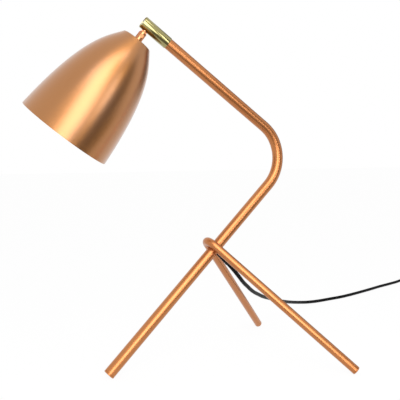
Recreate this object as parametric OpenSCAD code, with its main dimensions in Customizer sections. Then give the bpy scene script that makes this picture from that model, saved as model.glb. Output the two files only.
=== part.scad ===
// Tripod table lamp: a bent tube mast stands on its own foot and on a hairpin of thinner tube
// that wraps round it, and a bell shade hangs from a brass sleeve at the end of the arm.
// Millimetres, +Z up. The mast lies in the plane y = 0 and its arm reaches back towards -X.
// The origin is on the floor, in the middle of the lamp without its cord.

/* [Mast] */
// Outside diameter of the mast tube
mast_d = 16; // [14:0.5:18]
// Wall of the mast tube
mast_wall = 1.2; // [0.8:0.1:1.6]
// Length of the straight lower stretch, foot cap included
mast_len = 356; // [320:1:400]
// Slope of the lower stretch above the floor, in degrees
mast_slope = 44.8; // [40:0.1:50]
// Radius of the bend, to the middle of the tube
bend_r = 58.5; // [45:0.5:75]
// Slope of the arm above the floor, in degrees
arm_slope = 36.6; // [32:0.1:42]
// Length of the arm from the bend to the free end of the sleeve
arm_len = 236.5; // [200:0.5:270]

/* [Legs] */
// Outside diameter of the leg tube
leg_d = 12; // [10:0.5:14]
// Wall of the leg tube
leg_wall = 1; // [0.8:0.1:1.4]
// Distance up the mast at which the legs wrap round it
leg_join = 227; // [200:1:250]
// Weld gap between the wrapped leg tube and the mast
leg_hug = 1; // [0.6:0.1:1.6]
// Slope of each leg below the level, in degrees
leg_slope = 40.4; // [36:0.1:45]
// Angle of each leg from the plane of the mast, seen from above
leg_splay = 38.3; // [30:0.1:45]

/* [Feet] */
// Thickness of the cap's rim on each tube end
cap_rim = 2.5; // [2:0.1:4]
// Length of the cap's plug inside the tube
cap_plug = 9; // [6:0.5:14]
// Height that is worn flat where a cap stands on the floor
foot_flat = 0.5; // [0.3:0.1:1]
// Rounding of the cap's outer edge
cap_edge = 0.9; // [0.5:0.1:1.2]

/* [Swivel sleeve] */
// Outside diameter of the brass sleeve
sleeve_d = 17.6; // [17.2:0.1:22]
// Length of the brass sleeve
sleeve_len = 45; // [40:1:60]
// Running clearance of the sleeve on the arm, on the radius
sleeve_fit = 0.05; // [0.03:0.01:0.1]
// Distance from the sleeve's free end to the middle of the knuckle
knuckle_in = 9.5; // [9.2:0.1:14]
// Depth at which the sleeve's end cap sits in the sleeve
cap_recess = 3.2; // [3:0.1:3.4]
// Thickness of the sleeve's end cap
sleeve_cap_t = 2; // [1.2:0.1:2]
// Turn of the shade about the arm at rest, in degrees
swivel_rest = 13.5; // [0:0.5:30]
// Diameter of the axial screw that holds the sleeve
axle_d = 5; // [4:0.5:5]

/* [Knuckle] */
// Diameter of the knuckle's stem
knuckle_d = 11.3; // [11:0.1:12]
// Distance from the arm's axis to the flat top of the shade
shade_drop = 25; // [23.5:0.1:27]
// Distance from the arm's axis to the tilt pivot
pivot_drop = 16.5; // [16.3:0.1:16.7]
// Thickness of the tongue between the fork's ears
tongue_t = 4; // [3:0.1:4.4]
// Clearance of the tongue in the fork, on each side
tongue_gap = 0.15; // [0.1:0.05:0.3]
// Diameter of the pivot screw's shank
pivot_d = 3; // [2.5:0.1:3.5]

/* [Shade] */
// Length of the shade from its flat top to its mouth
shade_len = 162.5; // [150:0.5:190]
// Radius of the shade's mouth
shade_r = 69; // [62:0.5:80]
// Wall of the spun shade
shade_wall = 1.2; // [0.8:0.1:1.6]
// Radius of the shoulder round the shade's flat top
shoulder_r = 22.6; // [20:0.1:25]
// Diameter of the threaded nipple that carries the shade
nipple_d = 10; // [9:0.5:10]

/* [Lampholder and bulb] */
// Outside diameter of the lampholder
holder_d = 27; // [25:0.5:30]
// Length of the lampholder's screwed cap
holder_cap_len = 15; // [14:0.5:20]
// Length of the lampholder's barrel
holder_len = 26; // [26:0.5:32]
// Diameter of the bulb
bulb_d = 45; // [38:1:50]
// Diameter of the bulb's screw cap
screw_cap_d = 13.6; // [13.4:0.1:13.8]

/* [Cord] */
// Diameter of the mains cord
cord_d = 6; // [5:0.5:6]
// Length of the tapered relief outside the mast
relief_len = 24; // [20:1:30]
// Diameter of the relief where it leaves the mast
relief_d = 8; // [7.5:0.5:9]
// Radius of the innermost turn of the stored coil
coil_r = 26; // [24:1:30]
// Turns in each of the coil's two layers
coil_turns = 2.16; // [1.6:0.02:2.6]
// Space between the coil's turns
coil_gap = 0.6; // [0.5:0.1:1]

/* [Switch and plug] */
// Length of the in-line switch
switch_len = 58; // [50:1:70]
// Width of the in-line switch
switch_w = 26; // [24:1:32]
// Height of the in-line switch
switch_h = 17; // [16:0.5:20]
// Thickness of the flat plug
plug_t = 13.7; // [13:0.1:15]
// Length of the plug's body
plug_len = 34; // [30:1:38]
// Diameter of the plug's pins
pin_d = 4; // [4:0.1:4.8]
// Length of the plug's pins
pin_len = 19; // [18:0.5:20]
// Distance between the middles of the plug's pins
pin_pitch = 18.6; // [17:0.1:19]

/* [Hidden] */
$fn = 64;

copper = [0.78, 0.52, 0.36];
brass = [0.72, 0.63, 0.30];
black = [0.05, 0.05, 0.05];
steel = [0.70, 0.70, 0.72];
white = [0.93, 0.92, 0.89];

seat = 0.02;          // radial clearance of a pressed or screwed fit
running = 0.08;       // radial clearance of a turning fit
free_gap = 0.3;       // clearance between pieces that move past each other

// Bend and arm, in the plane of the mast. x0 moves the lamp so that the origin is in its middle.
mast_dir = [cos(mast_slope), 0, sin(mast_slope)];
arm_dir = [-cos(arm_slope), 0, sin(arm_slope)];
arm_down = [-sin(arm_slope), 0, -cos(arm_slope)];
mast_normal = [-sin(mast_slope), 0, cos(mast_slope)];
bend_turn = 180 - arm_slope - mast_slope;
foot_z = mast_d / 2 * cos(mast_slope) - foot_flat;
floor_reach = 1000;

function mast_foot(x) = [x, 0, foot_z];
function bend_start(x) = mast_foot(x) + mast_len * mast_dir;
function bend_centre(x) = bend_start(x) + bend_r * mast_normal;
function bend_end(x) = bend_centre(x) - bend_r * arm_down;
function knuckle_at(x) = bend_end(x) + (arm_len - knuckle_in) * arm_dir;

// Legs: one hairpin, flat in a plane that holds the Y direction and slopes down at leg_plane.
leg_plane = atan2(sin(leg_slope), cos(leg_slope) * cos(leg_splay));
leg_half = asin(sin(leg_splay) * cos(leg_slope));
leg_turn = 180 - 2 * leg_half;
leg_bend_r = mast_d / 2 + leg_d / 2 + leg_hug;
leg_top_z = foot_z + leg_join * sin(mast_slope) + leg_bend_r * sin(leg_half) * sin(leg_plane);
leg_foot_z = leg_d / 2 * cos(leg_slope) - foot_flat;
leg_len = (leg_top_z - leg_foot_z) / sin(leg_slope);
leg_reach = leg_len * cos(leg_half) - leg_bend_r * sin(leg_half);
leg_dir_x = cos(leg_slope) * cos(leg_splay);

// Furthest points in X, which put the origin in the middle.
shade_dir = cos(swivel_rest) * arm_down + sin(swivel_rest) * [0, 1, 0];
mouth_x = knuckle_at(0)[0] + (shade_drop + shade_len) * shade_dir[0]
    - shade_r * sqrt(1 - shade_dir[0] * shade_dir[0]);
foot_x = leg_join * mast_dir[0] + leg_reach * cos(leg_plane)
    + leg_d / 2 * sqrt(1 - leg_dir_x * leg_dir_x);
x0 = -(mouth_x + foot_x) / 2;
leg_node = mast_foot(x0) + leg_join * mast_dir;

// Weld beads: each bead's sweep round the mast, its place on either side, height and width.
weld_sweep = 30;
weld_side = 42;
weld_h = 4.2;
weld_reach = 3;

// Relief in the mast's wall, and the screw that grips it from the side.
relief_neck = 3.9;
relief_inner = 5;
relief_grooves = 5;
groove_first = 4;
relief_groove_w = 1.4;
relief_lip = 0.6;
grip_screw_d = 3;
grip_head_d = 5;
grip_head_t = 1.3;
grip_sink = 0.4;
grip_below = 7.5;
grip_turn = 20;

// Sleeve and knuckle.
mast_bore = mast_d - 2 * mast_wall;
sleeve_bore = mast_d + 2 * sleeve_fit;
bush_flange = 2;
bush_len = 14;
bush_lead_r = 4.6;
stop_r = 5;
stop_d = 2;
stop_out = 6;
screw_gap = 0.15;
arm_stop = knuckle_in + 9.5;
tube_len = arm_len - arm_stop;
spigot_d = 8;
washer_t = 0.5;
washer_d = 10;
head_t = 2.2;
ear_r = knuckle_d / 2;
ear_rise = 5.5;
ear_round = 2.5;
tongue_r = 4.2;
rivet_t = 1.4;
rivet_d = 8.6;
rivet_shoulder = 0.4;
groove_w = 1.8;
groove_deep = 1.6;
groove_in = 0.4;
slot_w = tongue_t + 2 * tongue_gap;
slot_floor = pivot_drop + tongue_r + free_gap;
nipple_len = 15;
lead_d = 3.2;
pivot_head_d = 5.4;
pivot_head_t = 1.2;

// Lampholder, measured down the shade's axis from the arm.
under_top = shade_drop + shade_wall;
washer_under_t = 1;
nut_t = 3.5;
holder_top = under_top + washer_under_t + nut_t;
holder_mouth = holder_top + holder_cap_len + holder_len;
holder_wall = 2;
shell_t = 0.4;
shell_r = screw_cap_d / 2 + free_gap;
shell_len = 22;
contact_t = 1.4;
bulb_seat = holder_mouth - shell_len + contact_t;
bulb_cap_len = 21;
bulb_wall = 0.8;
neck_r = 7.5;
shoulder_len = 15;
bulb_cone_r = bulb_d * 0.37;
bulb_centre = bulb_seat + bulb_cap_len + shoulder_len
    + sqrt(pow(bulb_d / 2, 2) - pow(bulb_cone_r, 2));

// Bell curve of the shade: control points as [radius, depth below the flat top].
bell_start = 1.2;
bell_out = 12.2;
bell_down = 18.4;
bell_flare = 9.3;
bell_hip = 40.4;
flat_in = 2.4;
flat_edge = 0.8;
BELL = [
    [shoulder_r, bell_start], [shoulder_r + bell_out, bell_start + bell_down],
    [shade_r - bell_flare, bell_start + bell_hip], [shade_r, shade_len]
];
SHOULDER = [[shoulder_r - flat_in, 0], [shoulder_r - flat_edge, 0], [shoulder_r, bell_start]];
bell_steps = 22;
shoulder_steps = 5;

// Cord. The free stretch lies on points chosen by hand, from the relief's tip to the switch.
exit_dir = [cos(leg_plane), 0, -sin(leg_plane)];
exit_point = leg_node + (mast_d / 2 + relief_len) * exit_dir;
cord_z = cord_d / 2;
switch_start = [735, 323];
switch_turn = 16;
switch_dir = [cos(switch_turn), sin(switch_turn)];
switch_z = switch_h / 2;
switch_end = switch_start + switch_len * switch_dir;
RUN = [
    exit_point, exit_point + 4 * exit_dir, exit_point + 8 * exit_dir, [97, 7, 120],
    [110, 17, 108], [125, 30, 97], [143, 47, 85], [164, 67, 74], [187, 89, 63], [212, 112, 53],
    [243, 138, 41], [277, 166, 29], [312, 194, 18], [344, 214, 10], [372, 226, 5],
    [400, 232, cord_z], [432, 236, cord_z], [462, 240, cord_z], [495, 248, cord_z],
    [531, 259, cord_z], [570, 272, cord_z], [610, 286, cord_z], [650, 298, cord_z],
    [690, 310, cord_z + 1], [712, 316.4, cord_z + 4], each_at(switch_start, -cord_d),
    each_at(switch_start, -cord_d / 2), each_at(switch_start, 0)
];
function each_at(p, along) = [for (i = [0:2]) i < 2 ? p[i] + along * switch_dir[i] : switch_z];
tie_t = 0.8;
coil_z = cord_z + tie_t + 0.1;
link_len = 31;
function link_at(along, z) = [for (i = [0:2]) i < 2 ? switch_end[i] + along * switch_dir[i] : z];
LINK = [
    link_at(0, switch_z), link_at(cord_d / 2, switch_z), link_at(cord_d, switch_z),
    link_at(link_len / 2, (switch_z + coil_z) / 2), link_at(link_len - cord_d, coil_z),
    link_at(link_len - cord_d / 2, coil_z), link_at(link_len, coil_z)
];

// Coil: the cord winds in on the floor, climbs over half a turn and winds out again on top.
coil_step = cord_d + coil_gap;
coil_rings = 24;
coil_loops = 2 * coil_turns;
coil_out = coil_r + coil_step * coil_turns;
coil_entry = [for (i = [0:1]) switch_end[i] + (link_len + cord_d) * switch_dir[i]];
coil_centre = coil_entry + coil_out * [sin(switch_turn), -cos(switch_turn)];
function coil_radius(u) = coil_r + coil_step * abs(u - coil_turns);
function coil_height(u) =
    coil_z + coil_step * min(1, max(0, (u - coil_turns) * 2 + 0.5));
function coil_angle(u) = 90 + switch_turn - 360 * u;
function coil_point(u) = [
    coil_centre[0] + coil_radius(u) * cos(coil_angle(u)),
    coil_centre[1] + coil_radius(u) * sin(coil_angle(u)), coil_height(u)
];
function heading_point(p, turn, along, z) =
    [p[0] + along * cos(turn), p[1] + along * sin(turn), z];
coil_exit_turn = coil_angle(coil_loops) - 90;
coil_last = coil_point(coil_loops);
coil_steps = floor(coil_loops * coil_rings);
COIL = concat(
    [LINK[len(LINK) - 1]],
    [for (i = [0:coil_steps]) coil_point(i * coil_loops / coil_steps)],
    [heading_point(coil_last, coil_exit_turn, cord_d, coil_last[2])]
);
coil_nearest = min([
    for (i = [0:coil_steps], j = [i + floor(coil_rings * 0.6):1:coil_steps])
        norm(coil_point(i * coil_loops / coil_steps) - coil_point(j * coil_loops / coil_steps))
]) - cord_d;
echo(least_gap_of_coil_to_itself = coil_nearest);
tie_angle = 250;
tie_w = 9;

// Cord from the coil to the plug, and the plug, which lies flat beside the coil.
plug_z = plug_t / 2;
plug_turn = coil_exit_turn;
end_len = 26;
plug_tail = heading_point(coil_last, plug_turn, cord_d + end_len, plug_z);
END = [
    COIL[len(COIL) - 1], heading_point(coil_last, plug_turn, 1.5 * cord_d, coil_last[2]),
    heading_point(coil_last, plug_turn, 2 * cord_d, coil_last[2]),
    heading_point(coil_last, plug_turn, cord_d + end_len / 2, (coil_last[2] + plug_z) / 2),
    heading_point(plug_tail, plug_turn, -cord_d, plug_z),
    heading_point(plug_tail, plug_turn, -cord_d / 2, plug_z), plug_tail
];
plug_relief = 22;
plug_w = 35.3;
plug_neck_w = 16;
pin_seat = 5;
pin_sleeve = 10;
pin_sleeve_t = 0.35;

// Switch.
rocker_w = 10;
rocker_len = 18;
rocker_tilt = 7;
rocker_z = 11.5;
switch_wall = 2;
switch_split = 8;
boss_d = 11;
screw_in = 9;
switch_screw_d = 3;

// Smooth curve through a list of points: steps points to each stretch between two of them.
function spline_at(a, b, c, d, t) = b + 0.5 * t * (c - a + t * (2 * a - 5 * b + 4 * c - d
    + t * (3 * (b - c) + d - a)));
function smooth(p, steps) = concat(
    [for (i = [0:len(p) - 2], k = [0:steps - 1])
        spline_at(p[max(i - 1, 0)], p[i], p[i + 1], p[min(i + 2, len(p) - 1)], k / steps)],
    [p[len(p) - 1]]
);
function unit(v) = v / norm(v);
function ring_at(p, along, r, sides) =
    let (side = unit(cross([0, 0, 1], along)), up = cross(along, side))
    [for (k = [0:sides - 1]) p + r * (cos(360 * k / sides) * side + sin(360 * k / sides) * up)];

// Tube swept along points: one ring of corners on each point, joined by triangles.
module swept_tube(path, d, sides) {
    n = len(path);
    corners = [
        for (i = [0:n - 1])
            each ring_at(path[i], unit(path[min(i + 1, n - 1)] - path[max(i - 1, 0)]), d / 2, sides)
    ];
    walls = [
        for (i = [0:n - 2], k = [0:sides - 1])
            let (a = i * sides + k, b = i * sides + (k + 1) % sides)
            each [[a, a + sides, b + sides], [a, b + sides, b]]
    ];
    ends = [
        for (k = [1:sides - 2])
            each [[0, k, k + 1], [(n - 1) * sides, (n - 1) * sides + k + 1, (n - 1) * sides + k]]
    ];
    polyhedron(corners, concat(walls, ends), convexity = 10);
}

// Places: the mast's foot with Z up the mast, the hairpin's plane, a leg's foot, and the arm.
module mast_frame() {
    translate(mast_foot(x0)) rotate([0, 90 - mast_slope, 0]) children();
}

module hairpin_frame() {
    translate(leg_node) rotate([0, leg_plane, 0]) children();
}

module leg_line(side) {
    hairpin_frame() rotate([0, 0, side * leg_half]) translate([0, side * leg_bend_r, 0]) children();
}

module leg_frame(side) {
    leg_line(side) translate([leg_len, 0, 0]) rotate([0, -90, 0]) children();
}

module bend_frame() {
    translate(bend_centre(x0)) rotate([90, 0, 0]) rotate([0, 0, mast_slope - 90]) children();
}

module arm_frame() {
    translate(bend_end(x0)) rotate([0, arm_slope - 180, 0]) children();
}

module knuckle_frame() {
    arm_frame() translate([arm_len - knuckle_in, 0, 0]) rotate([-swivel_rest, 0, 0]) children();
}

module along_arm(start, length, d) {
    translate([start, 0, 0]) rotate([0, 90, 0]) cylinder(d = d, h = length);
}

module across(d, start, length) {
    translate([0, start + length, 0]) rotate([90, 0, 0]) cylinder(d = d, h = length);
}

module tube_profile(d, bore) {
    difference() {
        circle(d = d);
        if (bore > 0) circle(d = bore);
    }
}

// A straight stretch, a bend and another straight stretch in one run, laid out from the bend's
// centre: the bend starts on +X and turns towards +Y.
module bent_run(d, bore, radius, turn, low_len, high_len) {
    translate([radius, 0, 0])
        rotate([90, 0, 0])
        linear_extrude(low_len) tube_profile(d, bore);
    difference() {
        rotate_extrude(angle = turn + 10) translate([radius, 0]) tube_profile(d, bore);
        rotate([0, 0, turn]) translate([0, 0, -d]) cube([2 * radius, radius, 2 * d]);
    }
    rotate([0, 0, turn])
        translate([radius, 0, 0])
        rotate([-90, 0, 0])
        linear_extrude(high_len) tube_profile(d, bore);
}

module mast_run(d, bore, low_len, high_len) {
    bend_frame() bent_run(d, bore, bend_r, bend_turn, low_len, high_len);
}

// Mast: one bent tube, with the holes for the cord's relief and its grip screw.
module mast_tube() {
    color(copper)
    difference() {
        mast_run(mast_d, mast_bore, mast_len - cap_rim, tube_len);
        hairpin_frame() rotate([0, 90, 0]) cylinder(r = relief_neck + seat, h = mast_d);
        grip_frame() {
            cylinder(r = grip_screw_d / 2 + seat, h = mast_d);
            translate([0, 0, mast_d / 2 - grip_sink])
                cylinder(r = grip_head_d / 2 + seat, h = mast_d);
        }
    }
}

module grip_frame() {
    mast_frame()
        translate([0, 0, leg_join - grip_below])
        rotate([0, 0, grip_turn])
        rotate([90, 0, 0])
        children();
}

// Legs: one hairpin of thin tube, wrapped round the back of the mast and welded to it.
module leg_hairpin() {
    straight = leg_len - cap_rim;
    color(copper)
        hairpin_frame()
        rotate([0, 0, 90 + leg_half])
        bent_run(leg_d, leg_d - 2 * leg_wall, leg_bend_r, leg_turn, straight, straight);
}

module leg_weld() {
    color(copper)
    difference() {
        hairpin_frame()
            for (side = [-1, 1])
                rotate([0, 0, 180 + side * weld_side - weld_sweep / 2])
                rotate_extrude(angle = weld_sweep)
                difference() {
                    polygon([
                        [mast_d / 2 - 1, -weld_h - 1], [mast_d / 2 + weld_reach, -weld_h + 0.6],
                        [mast_d / 2 + weld_reach, weld_h - 0.6], [mast_d / 2 - 1, weld_h + 1]
                    ]);
                    translate([leg_bend_r, 0]) circle(d = leg_d);
                }
        mast_frame() cylinder(d = mast_d, h = mast_len);
    }
}

// Foot cap: a rim with a rounded edge and a plug in the tube, worn flat where it stands.
module foot_cap(d, bore) {
    rotate_extrude() {
        square([d / 2 - cap_edge, cap_rim]);
        translate([0, cap_edge]) square([d / 2, cap_rim - cap_edge]);
        translate([d / 2 - cap_edge, cap_edge]) circle(r = cap_edge);
    }
    translate([0, 0, cap_rim]) cylinder(r = bore / 2 - seat, h = cap_plug);
}

module above_floor() {
    difference() {
        children();
        translate([-floor_reach, -floor_reach, -mast_d])
            cube([2 * floor_reach, 2 * floor_reach, mast_d]);
    }
}

module mast_foot_cap() {
    color(copper) above_floor() mast_frame() foot_cap(mast_d, mast_bore);
}

module right_foot_cap() {
    color(copper) above_floor() leg_frame(-1) foot_cap(leg_d, leg_d - 2 * leg_wall);
}

module rear_foot_cap() {
    color(copper) above_floor() leg_frame(1) foot_cap(leg_d, leg_d - 2 * leg_wall);
}

// Tapered relief: its neck sits in the mast's wall and its collar is hollowed to the mast.
module cord_relief() {
    start = mast_d / 2;
    tip_r = cord_d / 2 + relief_lip;
    pitch = (relief_len - groove_first - 1) / relief_grooves;
    color(black)
    difference() {
        hairpin_frame() rotate([0, 90, 0]) rotate_extrude() difference() {
            polygon([
                [cord_d / 2 + seat, relief_inner], [relief_neck, relief_inner],
                [relief_neck, start - 0.3], [relief_d / 2 + 0.5, start - 0.3],
                [relief_d / 2 + 0.5, start + 1.6], [relief_d / 2, start + 2.2],
                [tip_r, start + relief_len], [cord_d / 2 + seat, start + relief_len]
            ]);
            for (i = [0:relief_grooves - 1])
                translate([relief_d / 2 - 0.55 - i * 0.06, start + groove_first + i * pitch])
                square([2, relief_groove_w]);
        }
        difference() {
            mast_frame() cylinder(d = mast_d, h = mast_len);
            hairpin_frame() rotate([0, 90, 0]) cylinder(r = relief_neck, h = mast_d);
        }
    }
}

module grip_screw() {
    color(copper) grip_frame() {
        cylinder(d = grip_screw_d, h = mast_d / 2);
        translate([0, 0, mast_d / 2 - grip_sink])
            cylinder(d = grip_head_d, h = grip_head_t + grip_sink);
    }
}

// Cord inside the lamp: in through the relief, then up the mast and round the bend to the bush.
module mast_lead() {
    corner = cord_d / 2;
    color(black) {
        hairpin_frame()
            rotate([0, 90, 0])
            translate([0, 0, -corner])
            cylinder(d = cord_d, h = corner + mast_d / 2 + relief_len);
        mast_run(cord_d, 0, mast_len - leg_join + corner, tube_len + bush_flange - bush_len);
    }
}

// Bush pressed in the arm's end: a threaded hole for the axial screw and one for the lead.
module arm_bush() {
    color(brass)
    arm_frame() difference() {
        union() {
            along_arm(tube_len + bush_flange - bush_len, bush_len, mast_bore - 2 * seat);
            along_arm(tube_len, bush_flange, mast_d);
        }
        along_arm(tube_len - bush_len, 2 * bush_len, axle_d + 2 * seat);
        translate([0, 0, bush_lead_r]) along_arm(tube_len - bush_len, 2 * bush_len, lead_d);
        translate([0, 0, -stop_r]) along_arm(tube_len - bush_len, 2 * bush_len, stop_d);
    }
}

module stop_pin() {
    color(steel)
        arm_frame()
        translate([0, 0, -stop_r])
        along_arm(tube_len, bush_flange + stop_out, stop_d);
}

module swivel_screw() {
    head_at = arm_len - cap_recess + screw_gap + washer_t;
    color(steel)
    arm_frame() difference() {
        union() {
            along_arm(tube_len - 6, head_at - tube_len + 6.5, axle_d);
            along_arm(head_at, head_t, 2 * axle_d - 1);
        }
        along_arm(head_at + head_t - 1.3, 2, axle_d * 0.6);
    }
}

module spring_washer() {
    color(steel) arm_frame() difference() {
        along_arm(arm_len - cap_recess + screw_gap, washer_t, washer_d);
        along_arm(arm_len - 2 * cap_recess, 2 * cap_recess, axle_d + 2 * seat);
    }
}

// Brass sleeve, which turns on the arm, and the cap pressed in its end.
module swivel_sleeve() {
    color(brass) difference() {
        arm_frame() difference() {
            along_arm(arm_len - sleeve_len, sleeve_len, sleeve_d);
            along_arm(arm_len - sleeve_len - 1, sleeve_len + 2, sleeve_bore);
        }
        knuckle_frame() cylinder(d = spigot_d + 2 * seat, h = sleeve_d);
    }
}

module sleeve_cap() {
    color(brass) arm_frame() difference() {
        along_arm(arm_len - cap_recess - sleeve_cap_t, sleeve_cap_t, sleeve_bore - 2 * seat);
        along_arm(arm_len - 2 * cap_recess, 2 * cap_recess, axle_d + 2 * running);
    }
}

// Tongue: riveted in the sleeve's wall, with a groove for the lead beside the pivot.
module knuckle_tongue() {
    color(copper) knuckle_frame() difference() {
        union() {
            intersection() {
                translate([0, 0, sleeve_bore / 2 - rivet_t]) cylinder(d = rivet_d, h = 3);
                along_arm(-knuckle_in, 2 * knuckle_in, sleeve_bore - 2 * seat);
            }
            translate([0, 0, sleeve_bore / 2 - rivet_t])
                cylinder(d = spigot_d, h = rivet_t + (sleeve_d - sleeve_bore) / 2 + rivet_shoulder);
            translate([-spigot_d / 2, -tongue_t / 2, sleeve_d / 2 + seat])
                cube([spigot_d, tongue_t, pivot_drop - sleeve_d / 2 - seat]);
            translate([0, 0, pivot_drop]) across(spigot_d, -tongue_t / 2, tongue_t);
        }
        translate([0, 0, pivot_drop]) across(pivot_d + 2 * running, -tongue_t, 2 * tongue_t);
        translate([-spigot_d / 2 + groove_in, tongue_t / 2 - groove_deep, 0])
            cube([groove_w, tongue_t, pivot_drop + spigot_d]);
    }
}

// Fork: two ears with rounded corners round the tongue, a solid shoulder and the threaded nipple.
module ear_outline() {
    top = pivot_drop - ear_rise;
    corner = ear_r - ear_round;
    translate([-ear_r, top + ear_round]) square([2 * ear_r, shade_drop - top - ear_round]);
    translate([-corner, top]) square([2 * corner, 2 * ear_round]);
    for (side = [-1, 1]) translate([side * corner, top + ear_round]) circle(r = ear_round);
}

module knuckle_fork() {
    color(copper) knuckle_frame() difference() {
        union() {
            intersection() {
                translate([0, 0, pivot_drop - ear_rise])
                    cylinder(r = ear_r, h = shade_drop - pivot_drop + ear_rise);
                translate([0, ear_r, 0])
                    rotate([90, 0, 0])
                    linear_extrude(2 * ear_r) ear_outline();
            }
            translate([0, 0, shade_drop]) cylinder(d = nipple_d, h = nipple_len);
        }
        translate([-ear_r, -slot_w / 2, 0]) cube([2 * ear_r, slot_w, slot_floor]);
        translate([0, 0, pivot_drop]) {
            across(pivot_d + 2 * seat, -ear_r, 2 * ear_r);
            across(pivot_head_d + 2 * seat, -ear_r - 1, pivot_head_t + 1);
            across(pivot_head_d + 2 * seat, ear_r - pivot_head_t, pivot_head_t + 1);
        }
        translate([0, 0, slot_floor - 1]) cylinder(r = lead_d / 2 + seat, h = nipple_len + 20);
    }
}

module pivot_screw() {
    color(brass) knuckle_frame() translate([0, 0, pivot_drop]) difference() {
        union() {
            across(pivot_d, -ear_r + pivot_head_t, 2 * ear_r - pivot_head_t - 0.4);
            across(pivot_head_d, -ear_r - 0.2, pivot_head_t + 0.2);
        }
        translate([-pivot_head_d, -ear_r - 1, -0.4]) cube([2 * pivot_head_d, 1.4, 0.8]);
    }
}

module pivot_nut() {
    color(brass) knuckle_frame() translate([0, 0, pivot_drop]) difference() {
        across(pivot_head_d, ear_r - pivot_head_t, pivot_head_t + 0.2);
        across(pivot_d + 2 * seat, 0, 2 * ear_r);
    }
}

// Shade: spun bell with a small flat top, a rounded shoulder and an even wall.
function quad(p, t) = (1 - t) * (1 - t) * p[0] + 2 * t * (1 - t) * p[1] + t * t * p[2];
function quad_dir(p, t) = unit((1 - t) * (p[1] - p[0]) + t * (p[2] - p[1]));
function cubic(p, t) = pow(1 - t, 3) * p[0] + 3 * t * pow(1 - t, 2) * p[1]
    + 3 * t * t * (1 - t) * p[2] + pow(t, 3) * p[3];
function cubic_dir(p, t) = unit(pow(1 - t, 2) * (p[1] - p[0])
    + 2 * t * (1 - t) * (p[2] - p[1]) + t * t * (p[3] - p[2]));
function inward(v) = [-v[1], v[0]];
function shade_line(depth) = concat(
    [[nipple_d / 2 + 0.1, depth]],
    [for (i = [0:shoulder_steps - 1]) let (t = i / shoulder_steps)
        quad(SHOULDER, t) + depth * inward(quad_dir(SHOULDER, t))],
    [for (i = [0:bell_steps]) let (t = i / bell_steps)
        cubic(BELL, t) + depth * inward(cubic_dir(BELL, t))]
);
function backwards(list) = [for (i = [len(list) - 1:-1:0]) list[i]];

module shade() {
    color(copper)
        knuckle_frame()
        translate([0, 0, shade_drop])
        rotate_extrude()
        polygon(concat(shade_line(0), backwards(shade_line(shade_wall))));
}

module shade_washer() {
    color(steel) knuckle_frame() translate([0, 0, under_top]) difference() {
        cylinder(d = 18, h = washer_under_t);
        translate([0, 0, -1]) cylinder(r = nipple_d / 2 + seat, h = 4);
    }
}

module shade_nut() {
    color(steel) knuckle_frame() translate([0, 0, under_top + washer_under_t]) difference() {
        cylinder(d = 1.6 * nipple_d, h = nut_t, $fn = 6);
        translate([0, 0, -1]) cylinder(r = nipple_d / 2 + seat, h = nut_t + 2);
    }
}

// Lampholder: domed cap on the nipple, barrel below it, threaded shell and centre contact.
module holder_cap() {
    r = holder_d / 2;
    color(white)
        knuckle_frame()
        translate([0, 0, holder_top])
        rotate_extrude()
        polygon([
            [nipple_d / 2 + seat, 0], [r - 5, 0], [r - 1.6, 2.5], [r, 6], [r, holder_cap_len],
            [r - holder_wall, holder_cap_len], [r - holder_wall, 6.5], [r - 5, 3.5],
            [nipple_d / 2 + seat, 3.5]
        ]);
}

module holder_body() {
    color(white)
    knuckle_frame() translate([0, 0, holder_top + holder_cap_len]) difference() {
        cylinder(d = holder_d, h = holder_len);
        translate([0, 0, holder_len - shell_len])
            cylinder(r = shell_r + shell_t + seat, h = shell_len + 1);
        translate([0, 0, -1]) cylinder(d = lead_d, h = 3);
    }
}

module holder_shell() {
    color(brass) knuckle_frame() translate([0, 0, holder_mouth - shell_len]) difference() {
        cylinder(r = shell_r + shell_t, h = shell_len - 3);
        translate([0, 0, -1]) cylinder(r = shell_r, h = shell_len);
    }
}

module holder_contact() {
    color(brass)
        knuckle_frame()
        translate([0, 0, holder_mouth - shell_len])
        cylinder(d = 6, h = contact_t);
}

// Bulb: small screw cap and a round bulb.
module bulb_cap() {
    r = screw_cap_d / 2;
    color(steel)
        knuckle_frame()
        translate([0, 0, bulb_seat])
        rotate_extrude()
        polygon([
            [0, 0], [2.3, 0], [2.7, 0.8], [r - 1.6, 2.6], [r, 3.6], [r, bulb_cap_len],
            [0, bulb_cap_len]
        ]);
}

module bulb_form(shrink) {
    translate([0, 0, bulb_seat + bulb_cap_len - (shrink > 0 ? 1 : 0)])
        cylinder(r = neck_r - shrink, h = 1.01);
    translate([0, 0, bulb_seat + bulb_cap_len])
        cylinder(r1 = neck_r - shrink, r2 = bulb_cone_r - shrink, h = shoulder_len);
    translate([0, 0, bulb_centre]) sphere(r = bulb_d / 2 - shrink);
}

module bulb_glass() {
    color([0.95, 0.94, 0.90]) knuckle_frame() difference() {
        bulb_form(0);
        bulb_form(bulb_wall);
    }
}

module head_lead() {
    color(white)
        knuckle_frame()
        translate([0, 0, slot_floor])
        cylinder(d = lead_d, h = holder_top + holder_cap_len + 2 - slot_floor);
}

// Cord pieces outside the lamp.
module cord_run() {
    color(black) swept_tube(smooth(RUN, 2), cord_d, 8);
}

module cord_link() {
    color(black) swept_tube(smooth(LINK, 2), cord_d, 8);
}

module cord_coil() {
    color(black) swept_tube(COIL, cord_d, 6);
}

module cord_end() {
    color(black) swept_tube(smooth(END, 2), cord_d, 8);
}

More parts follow.
